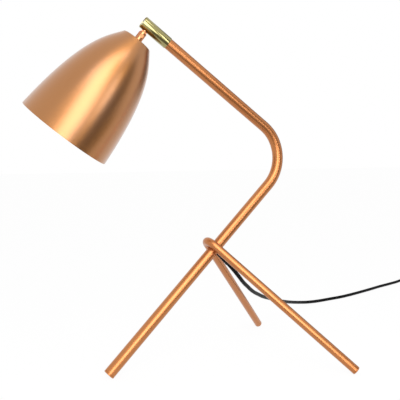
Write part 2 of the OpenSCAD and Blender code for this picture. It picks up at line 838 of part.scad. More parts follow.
module coil_tie() {
    low = coil_r - cord_d / 2 - 0.4;
    wide = coil_out + cord_d / 2 + 0.4 - low;
    high = 2 * cord_d + coil_gap + 0.3;
    color(black)
        translate([coil_centre[0], coil_centre[1], 0])
        rotate([0, 0, tie_angle])
        translate([low, tie_w / 2, tie_t])
        rotate([90, 0, 0])
        linear_extrude(tie_w)
        difference() {
            translate([-tie_t, -tie_t]) square([wide + 2 * tie_t, high + 2 * tie_t]);
            square([wide, high]);
        }
}

// In-line switch: two halves with a boss at each end, a rocker on a pin, screwed from below.
module switch_frame() {
    translate([switch_start[0], switch_start[1], 0])
        rotate([0, 0, switch_turn])
        translate([switch_len / 2, 0, 0])
        children();
}

module switch_outline() {
    end_r = switch_w * 0.3;
    intersection() {
        square([switch_len - 12, switch_w], center = true);
        union() {
            square([switch_len - 12 - 2 * end_r, switch_w], center = true);
            square([switch_len - 12, switch_w - 2 * end_r], center = true);
            for (x = [-1, 1], y = [-1, 1])
                translate([x * ((switch_len - 12) / 2 - end_r), y * (switch_w / 2 - end_r)])
                circle(r = end_r);
        }
    }
}

module switch_shape() {
    linear_extrude(switch_h) switch_outline();
    translate([-switch_len / 2, 0, switch_z]) rotate([0, 90, 0])
        cylinder(d = boss_d, h = switch_len);
}

module switch_cavity() {
    translate([-rocker_len / 2 - 2, -switch_w / 2 + switch_wall + 1, switch_wall])
        cube([rocker_len + 4, switch_w - 2 * switch_wall - 2, switch_h - 2 * switch_wall]);
}

module switch_screw_places() {
    for (x = [-1, 1]) translate([x * (switch_len / 2 - 6 - screw_in), 0, 0]) children();
}

module switch_base() {
    color(black) switch_frame() difference() {
        intersection() {
            switch_shape();
            translate([-switch_len, -switch_w, 0])
                cube([2 * switch_len, 2 * switch_w, switch_split]);
        }
        switch_cavity();
        switch_screw_places() {
            translate([0, 0, -1]) cylinder(d = switch_screw_d + 0.3, h = switch_split + 2);
            translate([0, 0, -1]) cylinder(d = 2 * switch_screw_d + 0.4, h = 3);
        }
    }
}

module switch_cover() {
    color(black) switch_frame() difference() {
        intersection() {
            switch_shape();
            translate([-switch_len, -switch_w, switch_split])
                cube([2 * switch_len, 2 * switch_w, switch_h]);
        }
        switch_cavity();
        translate([-rocker_len / 2 - free_gap, -rocker_w / 2 - free_gap, switch_split])
            cube([rocker_len + 2 * free_gap, rocker_w + 2 * free_gap, switch_h]);
        translate([0, 0, rocker_z]) across(2 + 2 * running, -rocker_w / 2 - 2, rocker_w + 4);
        switch_screw_places() cylinder(d = switch_screw_d - 0.4 + 2 * seat, h = switch_h - 3);
    }
}

// Rocker: pressed down at one end at rest, with its pin in one piece.
module switch_rocker() {
    top = switch_h + 1.6 - rocker_z;
    half = rocker_len / 2 - 0.6;
    color([0.12, 0.12, 0.12]) switch_frame() translate([0, 0, rocker_z]) {
        rotate([0, -rocker_tilt, 0])
            translate([0, rocker_w / 2, 0])
            rotate([90, 0, 0])
            linear_extrude(rocker_w)
            polygon([
                [-half, -1.6], [half, -1.6], [half, top - 0.4], [0, top - 1.4], [-half, top - 0.4]
            ]);
        across(2, -rocker_w / 2 - 1.6, rocker_w + 3.2);
    }
}

module switch_terminals() {
    color(brass) switch_frame()
        for (y = [-1, 1])
            translate([-rocker_len / 2 + 1, y * 6 - 1.5, switch_wall])
            cube([rocker_len - 2, 3, 3]);
}

module switch_screws() {
    color(steel) switch_frame() switch_screw_places() {
        translate([0, 0, 0.4]) cylinder(d = 2 * switch_screw_d, h = 1.6);
        cylinder_from(2, switch_split + 4, switch_screw_d - 0.4);
    }
}

module cylinder_from(low, high, d) {
    translate([0, 0, low]) cylinder(d = d, h = high - low);
}

// Flat two-pin plug with a tapered relief. Its two pins are seated in the body, and the stretch
// of each that is sleeved is a little thinner than its tip.
module plug_frame() {
    translate(plug_tail) rotate([0, 0, plug_turn]) children();
}

module plug_body() {
    color(black) plug_frame() difference() {
        union() {
            rotate([0, 90, 0]) cylinder(d1 = cord_d + 1.4, d2 = plug_t - 2.4, h = plug_relief + 1);
            translate([plug_relief, 0, -plug_t / 2])
                linear_extrude(plug_t)
                polygon([
                    [0, -plug_neck_w / 2 + 2], [2, -plug_neck_w / 2],
                    [plug_len * 0.4, -plug_neck_w / 2], [plug_len * 0.72, -plug_w / 2 + 1.4],
                    [plug_len - 2, -plug_w / 2],
                    [plug_len, -plug_w / 2 + 2], [plug_len, plug_w / 2 - 2],
                    [plug_len - 2, plug_w / 2], [plug_len * 0.72, plug_w / 2 - 1.4],
                    [plug_len * 0.4, plug_neck_w / 2], [2, plug_neck_w / 2],
                    [0, plug_neck_w / 2 - 2]
                ]);
        }
        plug_pin_places(-pin_seat) cylinder(r = pin_d / 2 - pin_sleeve_t + seat, h = pin_seat + 1);
    }
}

module plug_pin_places(from) {
    for (side = [-1, 1])
        translate([plug_relief + plug_len + from, side * pin_pitch / 2, 0])
        rotate([0, 90, 0])
        children();
}

module plug_pins() {
    color(brass) plug_frame() plug_pin_places(-pin_seat) rotate_extrude() {
        square([pin_d / 2 - pin_sleeve_t, pin_seat + pin_sleeve]);
        translate([0, pin_seat + pin_sleeve])
            square([pin_d / 2, pin_len - pin_sleeve - pin_d / 2]);
        intersection() {
            translate([0, pin_seat + pin_len - pin_d / 2]) circle(d = pin_d);
            square([pin_d, 2 * pin_len]);
        }
    }
}

mast_tube();
leg_hairpin();
leg_weld();
mast_foot_cap();
right_foot_cap();
rear_foot_cap();
cord_relief();
grip_screw();
mast_lead();
arm_bush();
stop_pin();
swivel_screw();
spring_washer();
swivel_sleeve();
sleeve_cap();
knuckle_tongue();
knuckle_fork();
pivot_screw();
pivot_nut();
shade();
shade_washer();
shade_nut();
holder_cap();
holder_body();
holder_shell();
holder_contact();
bulb_cap();
bulb_glass();
head_lead();
cord_run();
switch_base();
switch_cover();
switch_rocker();
switch_terminals();
switch_screws();
cord_link();
cord_coil();
coil_tie();
cord_end();
plug_body();
plug_pins();
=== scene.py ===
# Looks of a tripod table lamp: a bent copper mast on a hairpin of thinner legs, a bell shade on a
# brass sleeve at the end of the arm, and a black cord with a switch and a plug. Metres, +Z up.
import math

import bpy
from mathutils import Matrix, Vector


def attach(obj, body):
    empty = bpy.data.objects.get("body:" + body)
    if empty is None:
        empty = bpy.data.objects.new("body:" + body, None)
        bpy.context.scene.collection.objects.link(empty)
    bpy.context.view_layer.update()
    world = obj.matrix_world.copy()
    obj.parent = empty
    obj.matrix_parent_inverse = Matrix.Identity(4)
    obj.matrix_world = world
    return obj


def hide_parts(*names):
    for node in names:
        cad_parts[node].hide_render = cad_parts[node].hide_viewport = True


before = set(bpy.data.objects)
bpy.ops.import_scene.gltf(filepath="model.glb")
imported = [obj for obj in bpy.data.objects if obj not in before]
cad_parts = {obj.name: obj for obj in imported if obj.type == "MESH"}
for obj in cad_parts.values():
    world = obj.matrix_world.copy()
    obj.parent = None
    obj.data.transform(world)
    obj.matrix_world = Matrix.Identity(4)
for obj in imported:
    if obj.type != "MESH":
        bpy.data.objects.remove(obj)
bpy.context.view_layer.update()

# ---------------------------------------------------------------------------------------------
# Camera: in front of the lamp and a little to its left, above half its height, with a normal
# lens. The small shift and roll are those of the photograph's own framing.
heading, pitch, roll = math.radians(65.445), math.radians(-1.165), math.radians(-0.728)
ahead = Vector((
    math.cos(heading) * math.cos(pitch), math.sin(heading) * math.cos(pitch), math.sin(pitch)
))
level = Vector((math.sin(heading), -math.cos(heading), 0))
right = math.cos(roll) * level + math.sin(roll) * level.cross(ahead)
axes = Matrix((right, right.cross(ahead), -ahead)).transposed()
camera_spot = (-0.3187, -0.7818, 0.2902)
bpy.ops.object.camera_add(location=camera_spot, rotation=axes.to_euler())
camera = bpy.context.object
camera.name = "camera"
camera.data.lens = 53.54
camera.data.sensor_width = 36
camera.data.shift_x = -0.00926
camera.data.shift_y = -0.0622
camera.data.clip_start = 0.05
bpy.context.scene.camera = camera


# ---------------------------------------------------------------------------------------------
# Cord: round two-core mains lead, 6 mm across, in one run from the mast to the plug. It sags from
# the mast to the table, passes through the switch and is wound up in a flat coil beside it.
def linear(hex_colour):
    """The scene's colour for an sRGB colour such as '#C07F55'."""
    parts = [int(hex_colour[i:i + 2], 16) / 255 for i in (1, 3, 5)]
    return [p / 12.92 if p < 0.04045 else ((p + 0.055) / 1.055) ** 2.4 for p in parts] + [1]


def add(tree, kind, inputs=None, **settings):
    """Adds a node with its settings, and fills its inputs with values or links."""
    made = tree.nodes.new(kind)
    for name, value in settings.items():
        setattr(made, name, value)
    for name, value in (inputs or {}).items():
        if isinstance(value, bpy.types.NodeSocket):
            tree.links.new(value, made.inputs[name])
        else:
            made.inputs[name].default_value = value
    return made


def new_finish(name):
    """A new material: its node tree, and its shader, which the output shows."""
    made = bpy.data.materials.new(name)
    made.use_nodes = True
    return made, made.node_tree, made.node_tree.nodes["Principled BSDF"]


def fit(piece, finish, body, slot, *nodes):
    """Gives a piece its finish and its place among the bodies."""
    if finish.name not in piece.data.materials:
        piece.data.materials.append(finish)
    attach(piece, body)
    if nodes:
        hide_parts(*nodes)


cord_d = 0.006
exit_point = Vector((0.076016, 0, 0.141603))
exit_ahead = Vector((0.677896, 0, -0.735158))
switch_start = Vector((0.735, 0.323, 0.0085))
switch_turn = math.radians(16)
switch_ahead = Vector((math.cos(switch_turn), math.sin(switch_turn), 0))
switch_len = 0.058
switch_end = switch_start + switch_len * switch_ahead
route = [exit_point + along * exit_ahead for along in (0, 0.004, 0.008)]
route += [Vector(p) for p in (
    (0.097, 0.007, 0.120), (0.110, 0.017, 0.108), (0.125, 0.030, 0.097),
    (0.143, 0.047, 0.085), (0.164, 0.067, 0.074), (0.187, 0.089, 0.063),
    (0.212, 0.112, 0.053), (0.243, 0.138, 0.041), (0.277, 0.166, 0.029),
    (0.312, 0.194, 0.018), (0.344, 0.214, 0.010), (0.372, 0.226, 0.005),
    (0.400, 0.232, 0.003), (0.432, 0.236, 0.003), (0.462, 0.240, 0.003),
    (0.495, 0.248, 0.003), (0.531, 0.259, 0.003), (0.570, 0.272, 0.003),
    (0.610, 0.286, 0.003), (0.650, 0.298, 0.003), (0.690, 0.310, 0.004),
    (0.712, 0.3164, 0.007),
)]
route += [switch_start - along * switch_ahead for along in (0.006, 0.003, 0)] + [switch_end]
coil_low = 0.0039
for along, height in (
    (0.003, 0.0085), (0.006, 0.0085), (0.0155, 0.0062), (0.025, coil_low), (0.028, coil_low),
    (0.031, coil_low)
):
    route.append(switch_end + along * switch_ahead + Vector((0, 0, height - switch_end.z)))

# The coil winds in on the table, climbs over half a turn and winds out again on top.
coil_inner, coil_step, coil_turns, coil_points = 0.026, 0.0066, 2.16, 103
coil_outer = coil_inner + coil_step * coil_turns
coil_entry = switch_end + 0.037 * switch_ahead
coil_middle = coil_entry + coil_outer * Vector((math.sin(switch_turn), -math.cos(switch_turn), 0))
for i in range(coil_points + 1):
    turn_no = 2 * coil_turns * i / coil_points
    radius = coil_inner + coil_step * abs(turn_no - coil_turns)
    angle = math.pi / 2 + switch_turn - 2 * math.pi * turn_no
    climb = min(1, max(0, (turn_no - coil_turns) * 2 + 0.5))
    route.append(Vector((
        coil_middle.x + radius * math.cos(angle), coil_middle.y + radius * math.sin(angle),
        coil_low + coil_step * climb
    )))
coil_end = route[-1]
plug_heading = Vector((math.sin(angle), -math.cos(angle), 0))
plug_axis_z = 0.00685
for along, height in (
    (0.006, 0), (0.009, 0), (0.012, 0), (0.019, 0.5), (0.026, 1), (0.029, 1), (0.032, 1)
):
    drop = (plug_axis_z - coil_end.z) * height
    route.append(coil_end + along * plug_heading + Vector((0, 0, drop)))
plug_tail = route[-1]

bpy.ops.object.select_all(action="DESELECT")
bpy.ops.curve.primitive_bezier_curve_add()
flex = bpy.context.object
flex.name = "flex"
bpy.ops.object.mode_set(mode="EDIT")
bpy.ops.curve.select_all(action="SELECT")
bpy.ops.curve.delete(type="VERT")
bpy.ops.object.mode_set(mode="OBJECT")
line = flex.data.splines.new("BEZIER")
line.bezier_points.add(len(route) - 1)
for spot, point in zip(line.bezier_points, route):
    spot.co = point
    spot.handle_left_type = spot.handle_right_type = "AUTO"
line.resolution_u = 6
flex.data.bevel_depth = cord_d / 2
flex.data.bevel_resolution = 5
flex.data.use_fill_caps = True

# PVC sheath: extruded, so it is smooth with a dull sheen, and faintly wavy from its cores.
cord_pvc, tree, shader = new_finish("pvc_sheath_black")
place = add(tree, "ShaderNodeTexCoord")
waves = add(tree, "ShaderNodeTexNoise", {"Vector": place.outputs["Object"], "Scale": 90.0})
shader.inputs["Base Color"].default_value = linear("#050506")
shader.inputs["Specular IOR Level"].default_value = 0.08
shine = add(tree, "ShaderNodeMapRange", {
    "Value": waves.outputs["Fac"], "From Min": 0.3, "From Max": 0.7, "To Min": 0.38, "To Max": 0.5
})
tree.links.new(shine.outputs["Result"], shader.inputs["Roughness"])
bump = add(tree, "ShaderNodeBump", {
    "Height": waves.outputs["Fac"], "Strength": 0.3, "Distance": 0.0003
})
tree.links.new(bump.outputs["Normal"], shader.inputs["Normal"])
fit(flex, cord_pvc, "stand", "cord_black", "cord_run", "cord_link", "cord_coil", "cord_end")


# ---------------------------------------------------------------------------------------------
# Mast: steel tube, 16 mm with a 1.2 mm wall, bent once on a mandrel and copper-plated. It stands
# on its lower end at 45 degrees, and its upper stretch is the arm.
def unroll(piece, line, across):
    """UV map of a tube: u is the share of a turn round its line, v the metres along it."""
    starts, total = [], 0
    for a, b in zip(line, line[1:]):
        starts.append(total)
        total += (b - a).length
    spots = []
    for vertex in piece.data.vertices:
        best = None
        for start, a, b in zip(starts, line, line[1:]):
            ahead = (b - a).normalized()
            along = min(max((vertex.co - a).dot(ahead), 0), (b - a).length)
            off = vertex.co - a - along * ahead
            if best is None or off.length < best[0]:
                turn = math.atan2(off.dot(ahead.cross(across)), off.dot(across))
                best = (off.length, turn / (2 * math.pi), start + along)
        spots.append(best[1:])
    layer = piece.data.uv_layers.new(name="round_and_along")
    for face in piece.data.polygons:
        first = spots[piece.data.loops[face.loop_start].vertex_index][0]
        for corner in face.loop_indices:
            u, v = spots[piece.data.loops[corner].vertex_index]
            layer.data[corner].uv = (u - round(u - first), v)


def begin_tube(name, radius, start, ahead, sides=48):
    """A ring of a tube at its place, in edit mode and selected all over."""
    bpy.ops.object.select_all(action="DESELECT")
    turned = ahead.to_track_quat("Z", "Y").to_euler()
    bpy.ops.mesh.primitive_circle_add(
        vertices=sides, radius=radius, location=start, rotation=turned
    )
    piece = bpy.context.object
    piece.name = name
    bpy.ops.object.mode_set(mode="EDIT")
    bpy.ops.mesh.select_all(action="SELECT")
    return piece


def draw_out(move, steps=1):
    """Extrudes the selected ring in equal steps."""
    for _ in range(steps):
        bpy.ops.mesh.extrude_region_move(TRANSFORM_OT_translate={"value": move / steps})


def end_tube(piece, wall, start):
    """Gives a tube its wall, inwards from its outside, and puts its place in its mesh."""
    bpy.ops.object.mode_set(mode="OBJECT")
    bpy.ops.object.transform_apply(location=True, rotation=True, scale=True)
    bpy.ops.object.mode_set(mode="EDIT")
    bpy.ops.mesh.select_all(action="SELECT")
    bpy.ops.mesh.normals_make_consistent(inside=False)
    bpy.ops.object.mode_set(mode="OBJECT")
    face = min(piece.data.polygons, key=lambda f: (f.center - start).length)
    thick = piece.modifiers.new("wall", "SOLIDIFY")
    thick.thickness = wall
    thick.offset = -1 if face.normal.dot(face.center - start) > 0 else 1
    thick.use_rim = True
    bpy.ops.object.modifier_apply(modifier="wall")
    bpy.ops.object.mode_set(mode="EDIT")
    bpy.ops.mesh.select_all(action="SELECT")
    bpy.ops.mesh.normals_make_consistent(inside=False)
    bpy.ops.object.mode_set(mode="OBJECT")
    bpy.ops.object.shade_smooth_by_angle(angle=math.radians(40))


mast_r, mast_wall, mast_slope = 0.008, 0.0012, math.radians(44.8)
mast_foot = Vector((-0.106749, 0, 0.005177))
mast_up = Vector((math.cos(mast_slope), 0, math.sin(mast_slope)))
mast_len, bend_r, arm_slope, cap_rim = 0.356, 0.0585, math.radians(36.6), 0.0025
arm_ahead = Vector((-math.cos(arm_slope), 0, math.sin(arm_slope)))
bend_turn = math.pi - arm_slope - mast_slope
bend_start = mast_foot + mast_len * mast_up
bend_middle = bend_start + bend_r * Vector((-mast_up.z, 0, mast_up.x))
bend_end = bend_middle + bend_r * Vector((arm_ahead.z, 0, -arm_ahead.x))
arm_tube_len, bend_steps = 0.2175, 28
mast = begin_tube("mast", mast_r, mast_foot + cap_rim * mast_up, mast_up)
draw_out((mast_len - cap_rim) * mast_up, 6)
bpy.ops.mesh.spin(steps=bend_steps, angle=bend_turn, center=bend_middle, axis=(0, 1, 0))
draw_out(arm_tube_len * arm_ahead, 4)
end_tube(mast, mast_wall, mast_foot + cap_rim * mast_up)
bend_line = []
for i in range(bend_steps + 1):
    angle = bend_turn * i / bend_steps
    bend_line.append(bend_middle + bend_r * (
        math.cos(angle) * Vector((mast_up.z, 0, -mast_up.x)) + math.sin(angle) * mast_up
    ))
unroll(mast, [mast_foot] + bend_line + [bend_end + arm_tube_len * arm_ahead], Vector((0, 1, 0)))

# Copper plate on drawn steel tube under clear lacquer: a satin metal whose drawing marks run
# along the tube, here 0.6 mm apart and 60 mm long, with slight changes of tone from the plating
# bath. The marks are drawn on a circle as long as the tube is round, so they close on themselves.
mark_apart, mark_long = 0.0006, 0.06
copper_plate, tree, shader = new_finish("copper_plated_steel_lacquered")
lengthwise = add(tree, "ShaderNodeUVMap", uv_map="round_and_along")
shares = add(tree, "ShaderNodeSeparateXYZ", {"Vector": lengthwise.outputs["UV"]})
round_turn = add(tree, "ShaderNodeMath", {
    0: shares.outputs["X"], 1: 2 * math.pi
}, operation="MULTIPLY")
circle = [
    add(tree, "ShaderNodeMath", {
        0: add(tree, "ShaderNodeMath", {0: round_turn.outputs[0]}, operation=part).outputs[0],
        1: mast_r / mark_apart
    }, operation="MULTIPLY")
    for part in ("COSINE", "SINE")
]
far_along = add(tree, "ShaderNodeMath", {
    0: shares.outputs["Y"], 1: 1 / mark_long
}, operation="MULTIPLY")
marks_place = add(tree, "ShaderNodeCombineXYZ", {
    "X": circle[0].outputs[0], "Y": circle[1].outputs[0], "Z": far_along.outputs[0]
})
marks = add(tree, "ShaderNodeTexNoise", {
    "Vector": marks_place.outputs["Vector"], "Scale": 1.0, "Detail": 2.0, "Roughness": 0.5
})
place = add(tree, "ShaderNodeTexCoord")
bath = add(tree, "ShaderNodeTexNoise", {
    "Vector": place.outputs["Object"], "Scale": 14.0, "Detail": 2.0
})
tone = add(tree, "ShaderNodeMix", {
    0: bath.outputs["Fac"], 6: linear("#C27E48"), 7: linear("#B6703C")
}, data_type="RGBA")
tree.links.new(tone.outputs[2], shader.inputs["Base Color"])
satin = add(tree, "ShaderNodeMapRange", {
    "Value": marks.outputs["Fac"], "From Min": 0.25, "From Max": 0.75, "To Min": 0.34,
    "To Max": 0.37
})
tree.links.new(satin.outputs["Result"], shader.inputs["Roughness"])
shader.inputs["Metallic"].default_value = 1
shader.inputs["Coat Weight"].default_value = 0.5
shader.inputs["Coat Roughness"].default_value = 0.3
fit(mast, copper_plate, "stand", "copper_tube", "mast_tube")

# ---------------------------------------------------------------------------------------------
# Legs: one length of 12 mm tube bent to a hairpin. It hooks round the back of the mast, touches
# it through two weld beads, and its two ends stand on the table.
leg_r, leg_wall = 0.006, 0.001
leg_join = 0.227
leg_half, leg_plane = math.radians(28.16326), math.radians(47.32056)
leg_bend_r, leg_len, hook_steps = 0.015, 0.2565329, 24
node_point = mast_foot + leg_join * mast_up
fork_ahead = Vector((math.cos(leg_plane), 0, -math.sin(leg_plane)))
fork_normal = Vector((math.sin(leg_plane), 0, math.cos(leg_plane)))
sideways = Vector((0, 1, 0))
leg_ahead, leg_top = {}, {}
for side in (-1, 1):
    leg_ahead[side] = math.cos(leg_half) * fork_ahead + side * math.sin(leg_half) * sideways
    leg_top[side] = node_point + leg_bend_r * (
        side * math.cos(leg_half) * sideways - math.sin(leg_half) * fork_ahead
    )
leg_turn = math.pi - 2 * leg_half
legs = begin_tube("legs", leg_r, leg_top[1] + (leg_len - cap_rim) * leg_ahead[1], leg_ahead[1])
draw_out((cap_rim - leg_len) * leg_ahead[1], 6)
bpy.ops.mesh.spin(steps=hook_steps, angle=leg_turn, center=node_point, axis=-fork_normal)
draw_out((leg_len - cap_rim) * leg_ahead[-1], 6)
end_tube(legs, leg_wall, leg_top[1] + (leg_len - cap_rim) * leg_ahead[1])
hook_line = []
for i in range(hook_steps + 1):
    angle = math.pi / 2 + leg_half + leg_turn * i / hook_steps
    hook_line.append(
        node_point + leg_bend_r * (math.cos(angle) * fork_ahead + math.sin(angle) * sideways)
    )
leg_foot = {side: leg_top[side] + leg_len * leg_ahead[side] for side in (-1, 1)}
unroll(legs, [leg_foot[1]] + hook_line + [leg_foot[-1]], fork_normal)
fit(legs, copper_plate, "stand", "copper_tube", "leg_hairpin")


# ---------------------------------------------------------------------------------------------
# Foot caps: turned plugs with a rounded rim, plated like the tubes and pressed into their ends.
# Each is worn flat where it stands on the table.
def frame_along(start, ahead):
    """A frame at a point whose Z runs along a direction."""
    return Matrix.Translation(start) @ ahead.to_track_quat("Z", "Y").to_matrix().to_4x4()


def turn(name, outline, place, sides=48, edge=0):
    """Turns a piece: a ring at the outline's first (radius, height) is drawn through the rest.
    The outline closes on itself or ends on the axis, and edge bevels its corners."""
    on_axis = 4e-6
    bpy.ops.object.select_all(action="DESELECT")
    radius, height = max(outline[0][0], on_axis), outline[0][1]
    bpy.ops.mesh.primitive_circle_add(vertices=sides, radius=radius, location=(0, 0, height))
    bpy.ops.object.transform_apply(location=True)
    piece = bpy.context.object
    piece.name = name
    bpy.ops.object.mode_set(mode="EDIT")
    bpy.ops.mesh.select_all(action="SELECT")
    for next_radius, next_height in outline[1:]:
        wider = max(next_radius, on_axis) / radius
        bpy.ops.mesh.extrude_region_move(
            TRANSFORM_OT_translate={"value": (0, 0, next_height - height)}
        )
        bpy.ops.transform.resize(value=(wider, wider, 1), center_override=(0, 0, 0))
        radius, height = max(next_radius, on_axis), next_height
    bpy.ops.mesh.select_all(action="SELECT")
    bpy.ops.mesh.remove_doubles(threshold=1e-5)
    bpy.ops.mesh.normals_make_consistent(inside=False)
    bpy.ops.object.mode_set(mode="OBJECT")
    if edge:
        bevel = piece.modifiers.new("edge", "BEVEL")
        bevel.width = edge
        bevel.segments = 3
        bevel.limit_method = "ANGLE"
        bevel.angle_limit = math.radians(35)
        bpy.ops.object.modifier_apply(modifier="edge")
    piece.matrix_world = place
    bpy.ops.object.transform_apply(location=True, rotation=True, scale=True)
    bpy.ops.object.shade_smooth_by_angle(angle=math.radians(32))
    return piece


cap_edge, cap_chamfer, cap_plug, seat_gap = 0.0009, 0.0003, 0.009, 0.00002
for name, node, radius, bore, foot, ahead in (
    ("cap_mast", "mast_foot_cap", mast_r, mast_r - mast_wall, mast_foot, mast_up),
    ("cap_right", "right_foot_cap", leg_r, leg_r - leg_wall, leg_foot[-1], -leg_ahead[-1]),
    ("cap_rear", "rear_foot_cap", leg_r, leg_r - leg_wall, leg_foot[1], -leg_ahead[1]),
):
    rounding = [
        (radius - cap_edge * (1 - math.sin(a)), cap_edge * (1 - math.cos(a)))
        for a in [math.pi / 2 * i / 6 for i in range(7)]
    ]
    outline = [(0, 0)] + rounding + [
        (radius, cap_rim - cap_chamfer), (radius - cap_chamfer, cap_rim),
        (bore - seat_gap, cap_rim), (bore - seat_gap, cap_rim + cap_plug),
        (0, cap_rim + cap_plug)
    ]
    cap = turn(name, outline, frame_along(foot, ahead))
    bpy.ops.object.mode_set(mode="EDIT")
    bpy.ops.mesh.select_all(action="SELECT")
    bpy.ops.mesh.bisect(plane_co=(0, 0, 0), plane_no=(0, 0, -1), use_fill=True, clear_outer=True)
    bpy.ops.object.mode_set(mode="OBJECT")
    unroll(cap, [foot, foot + (cap_rim + cap_plug) * ahead], sideways)
    fit(cap, copper_plate, "stand", "copper_cap", node)

# ---------------------------------------------------------------------------------------------
# Sleeve: turned and polished brass tube, which turns on the end of the arm. Its end cap is
# pressed in below the rim, and an axial screw with a spring washer holds and brakes it.
sleeve_r, sleeve_bore, sleeve_len, arm_len = 0.0088, 0.00805, 0.045, 0.2365
sleeve_free = bend_end + arm_len * arm_ahead
sleeve_frame = frame_along(sleeve_free - sleeve_len * arm_ahead, arm_ahead)
sleeve = turn("sleeve", [
    (sleeve_bore, 0), (sleeve_r, 0), (sleeve_r, sleeve_len), (sleeve_bore, sleeve_len),
    (sleeve_bore, 0)
], sleeve_frame, sides=64, edge=0.00025)
unroll(sleeve, [sleeve_free - sleeve_len * arm_ahead, sleeve_free], sideways)
cap_recess, sleeve_cap_t, cap_hole = 0.0032, 0.002, 0.0027
sleeve_end = turn("sleeve_end", [
    (cap_hole, sleeve_len - cap_recess - sleeve_cap_t),
    (sleeve_bore - seat_gap, sleeve_len - cap_recess - sleeve_cap_t),
    (sleeve_bore - seat_gap, sleeve_len - cap_recess), (cap_hole, sleeve_len - cap_recess),
    (cap_hole, sleeve_len - cap_recess - sleeve_cap_t)
], sleeve_frame, edge=0.0002)

# Polished brass under clear lacquer: a yellow, smooth metal with fine marks from the mop.
brass, tree, shader = new_finish("brass_turned_polished")
place = add(tree, "ShaderNodeTexCoord")
mop = add(tree, "ShaderNodeTexNoise", {
    "Vector": place.outputs["Object"], "Scale": 700.0, "Detail": 3.0
})
tarnish = add(tree, "ShaderNodeTexNoise", {"Vector": place.outputs["Object"], "Scale": 60.0})
tone = add(tree, "ShaderNodeMix", {
    0: tarnish.outputs["Fac"], 6: linear("#A0975A"), 7: linear("#8E844A")
}, data_type="RGBA")
tree.links.new(tone.outputs[2], shader.inputs["Base Color"])
shine = add(tree, "ShaderNodeMapRange", {
    "Value": mop.outputs["Fac"], "From Min": 0.3, "From Max": 0.7, "To Min": 0.12, "To Max": 0.22
})
tree.links.new(shine.outputs["Result"], shader.inputs["Roughness"])
shader.inputs["Metallic"].default_value = 1
shader.inputs["Coat Weight"].default_value = 0.7
shader.inputs["Coat IOR"].default_value = 1.8
shader.inputs["Coat Roughness"].default_value = 0.1
fit(sleeve, brass, "sleeve", "brass_sleeve", "swivel_sleeve")
fit(sleeve_end, brass, "sleeve", "brass_sleeve", "sleeve_cap")

# ---------------------------------------------------------------------------------------------
# Shade: aluminium bell, spun over a form, copper-coloured outside and white inside. A small flat
# top sits on the fork, and the edge of the mouth is cut off square.
knuckle_in, shade_drop, shade_len, shade_r, shade_wall = 0.0095, 0.025, 0.1625, 0.069, 0.0012
swivel_rest = math.radians(13.5)
knuckle_point = sleeve_free - knuckle_in * arm_ahead
arm_down = Vector((-math.sin(arm_slope), 0, -math.cos(arm_slope)))
shade_ahead = math.cos(swivel_rest) * arm_down + math.sin(swivel_rest) * sideways
knuckle_axes = Matrix((arm_ahead, shade_ahead.cross(arm_ahead), shade_ahead)).transposed()
knuckle = Matrix.Translation(knuckle_point) @ knuckle_axes.to_4x4()


def shade_outline(depth):
    """Points of the bell as (radius, depth below its top), each moved inwards by the wall."""
    shoulder = [Vector(p) for p in ((0.0202, 0), (0.0218, 0), (0.0226, 0.0012))]
    bell = [Vector(p) for p in (
        (0.0226, 0.0012), (0.0348, 0.0196), (0.0597, 0.0416), (shade_r, shade_len)
    )]
    points = [(0.0051, depth)]
    for i in range(8):
        t = i / 8
        spot = (1 - t) ** 2 * shoulder[0] + 2 * t * (1 - t) * shoulder[1] + t * t * shoulder[2]
        ahead = (1 - t) * (shoulder[1] - shoulder[0]) + t * (shoulder[2] - shoulder[1])
        ahead.normalize()
        points.append((spot.x - depth * ahead.y, spot.y + depth * ahead.x))
    for i in range(41):
        t = i / 40
        spot = (
            (1 - t) ** 3 * bell[0] + 3 * t * (1 - t) ** 2 * bell[1]
            + 3 * t * t * (1 - t) * bell[2] + t ** 3 * bell[3]
        )
        ahead = (
            (1 - t) ** 2 * (bell[1] - bell[0]) + 2 * t * (1 - t) * (bell[2] - bell[1])
            + t * t * (bell[3] - bell[2])
        ).normalized()
        points.append((spot.x - depth * ahead.y, spot.y + depth * ahead.x))
    return points


outside, inside = shade_outline(0), shade_outline(shade_wall)
profile = outside + inside[::-1] + outside[:1]
shade = turn("bell", [(r, shade_drop + z) for r, z in profile], knuckle, 128)
unroll(
    shade, [knuckle_point + shade_drop * shade_ahead,
            knuckle_point + (shade_drop + shade_len) * shade_ahead],
    knuckle_axes.col[0]
)

# Copper-coloured lacquer on spun and brushed aluminium: the grain runs round the bell, about
# 1 mm apart as drawn here, so highlights stretch along it.
shade_copper, tree, shader = new_finish("spun_aluminium_copper_lacquer")
lengthwise = add(tree, "ShaderNodeUVMap", uv_map="round_and_along")
rings_per_metre = 900
rings_place = add(tree, "ShaderNodeMapping", {
    "Vector": lengthwise.outputs["UV"], "Scale": (0, rings_per_metre, 0)
})
rings = add(tree, "ShaderNodeTexNoise", {
    "Vector": rings_place.outputs["Vector"], "Scale": 1.0, "Detail": 4.0, "Roughness": 0.65
})
place = add(tree, "ShaderNodeTexCoord")
clouds = add(tree, "ShaderNodeTexNoise", {"Vector": place.outputs["Object"], "Scale": 9.0})
tone = add(tree, "ShaderNodeMix", {
    0: clouds.outputs["Fac"], 6: linear("#B57324"), 7: linear("#AC6A1E")
}, data_type="RGBA")
tree.links.new(tone.outputs[2], shader.inputs["Base Color"])
satin = add(tree, "ShaderNodeMapRange", {
    "Value": rings.outputs["Fac"], "From Min": 0.25, "From Max": 0.75, "To Min": 0.3,
    "To Max": 0.4
})
tree.links.new(satin.outputs["Result"], shader.inputs["Roughness"])
bump = add(tree, "ShaderNodeBump", {
    "Height": rings.outputs["Fac"], "Strength": 0.12, "Distance": 0.00004
})
tree.links.new(bump.outputs["Normal"], shader.inputs["Normal"])
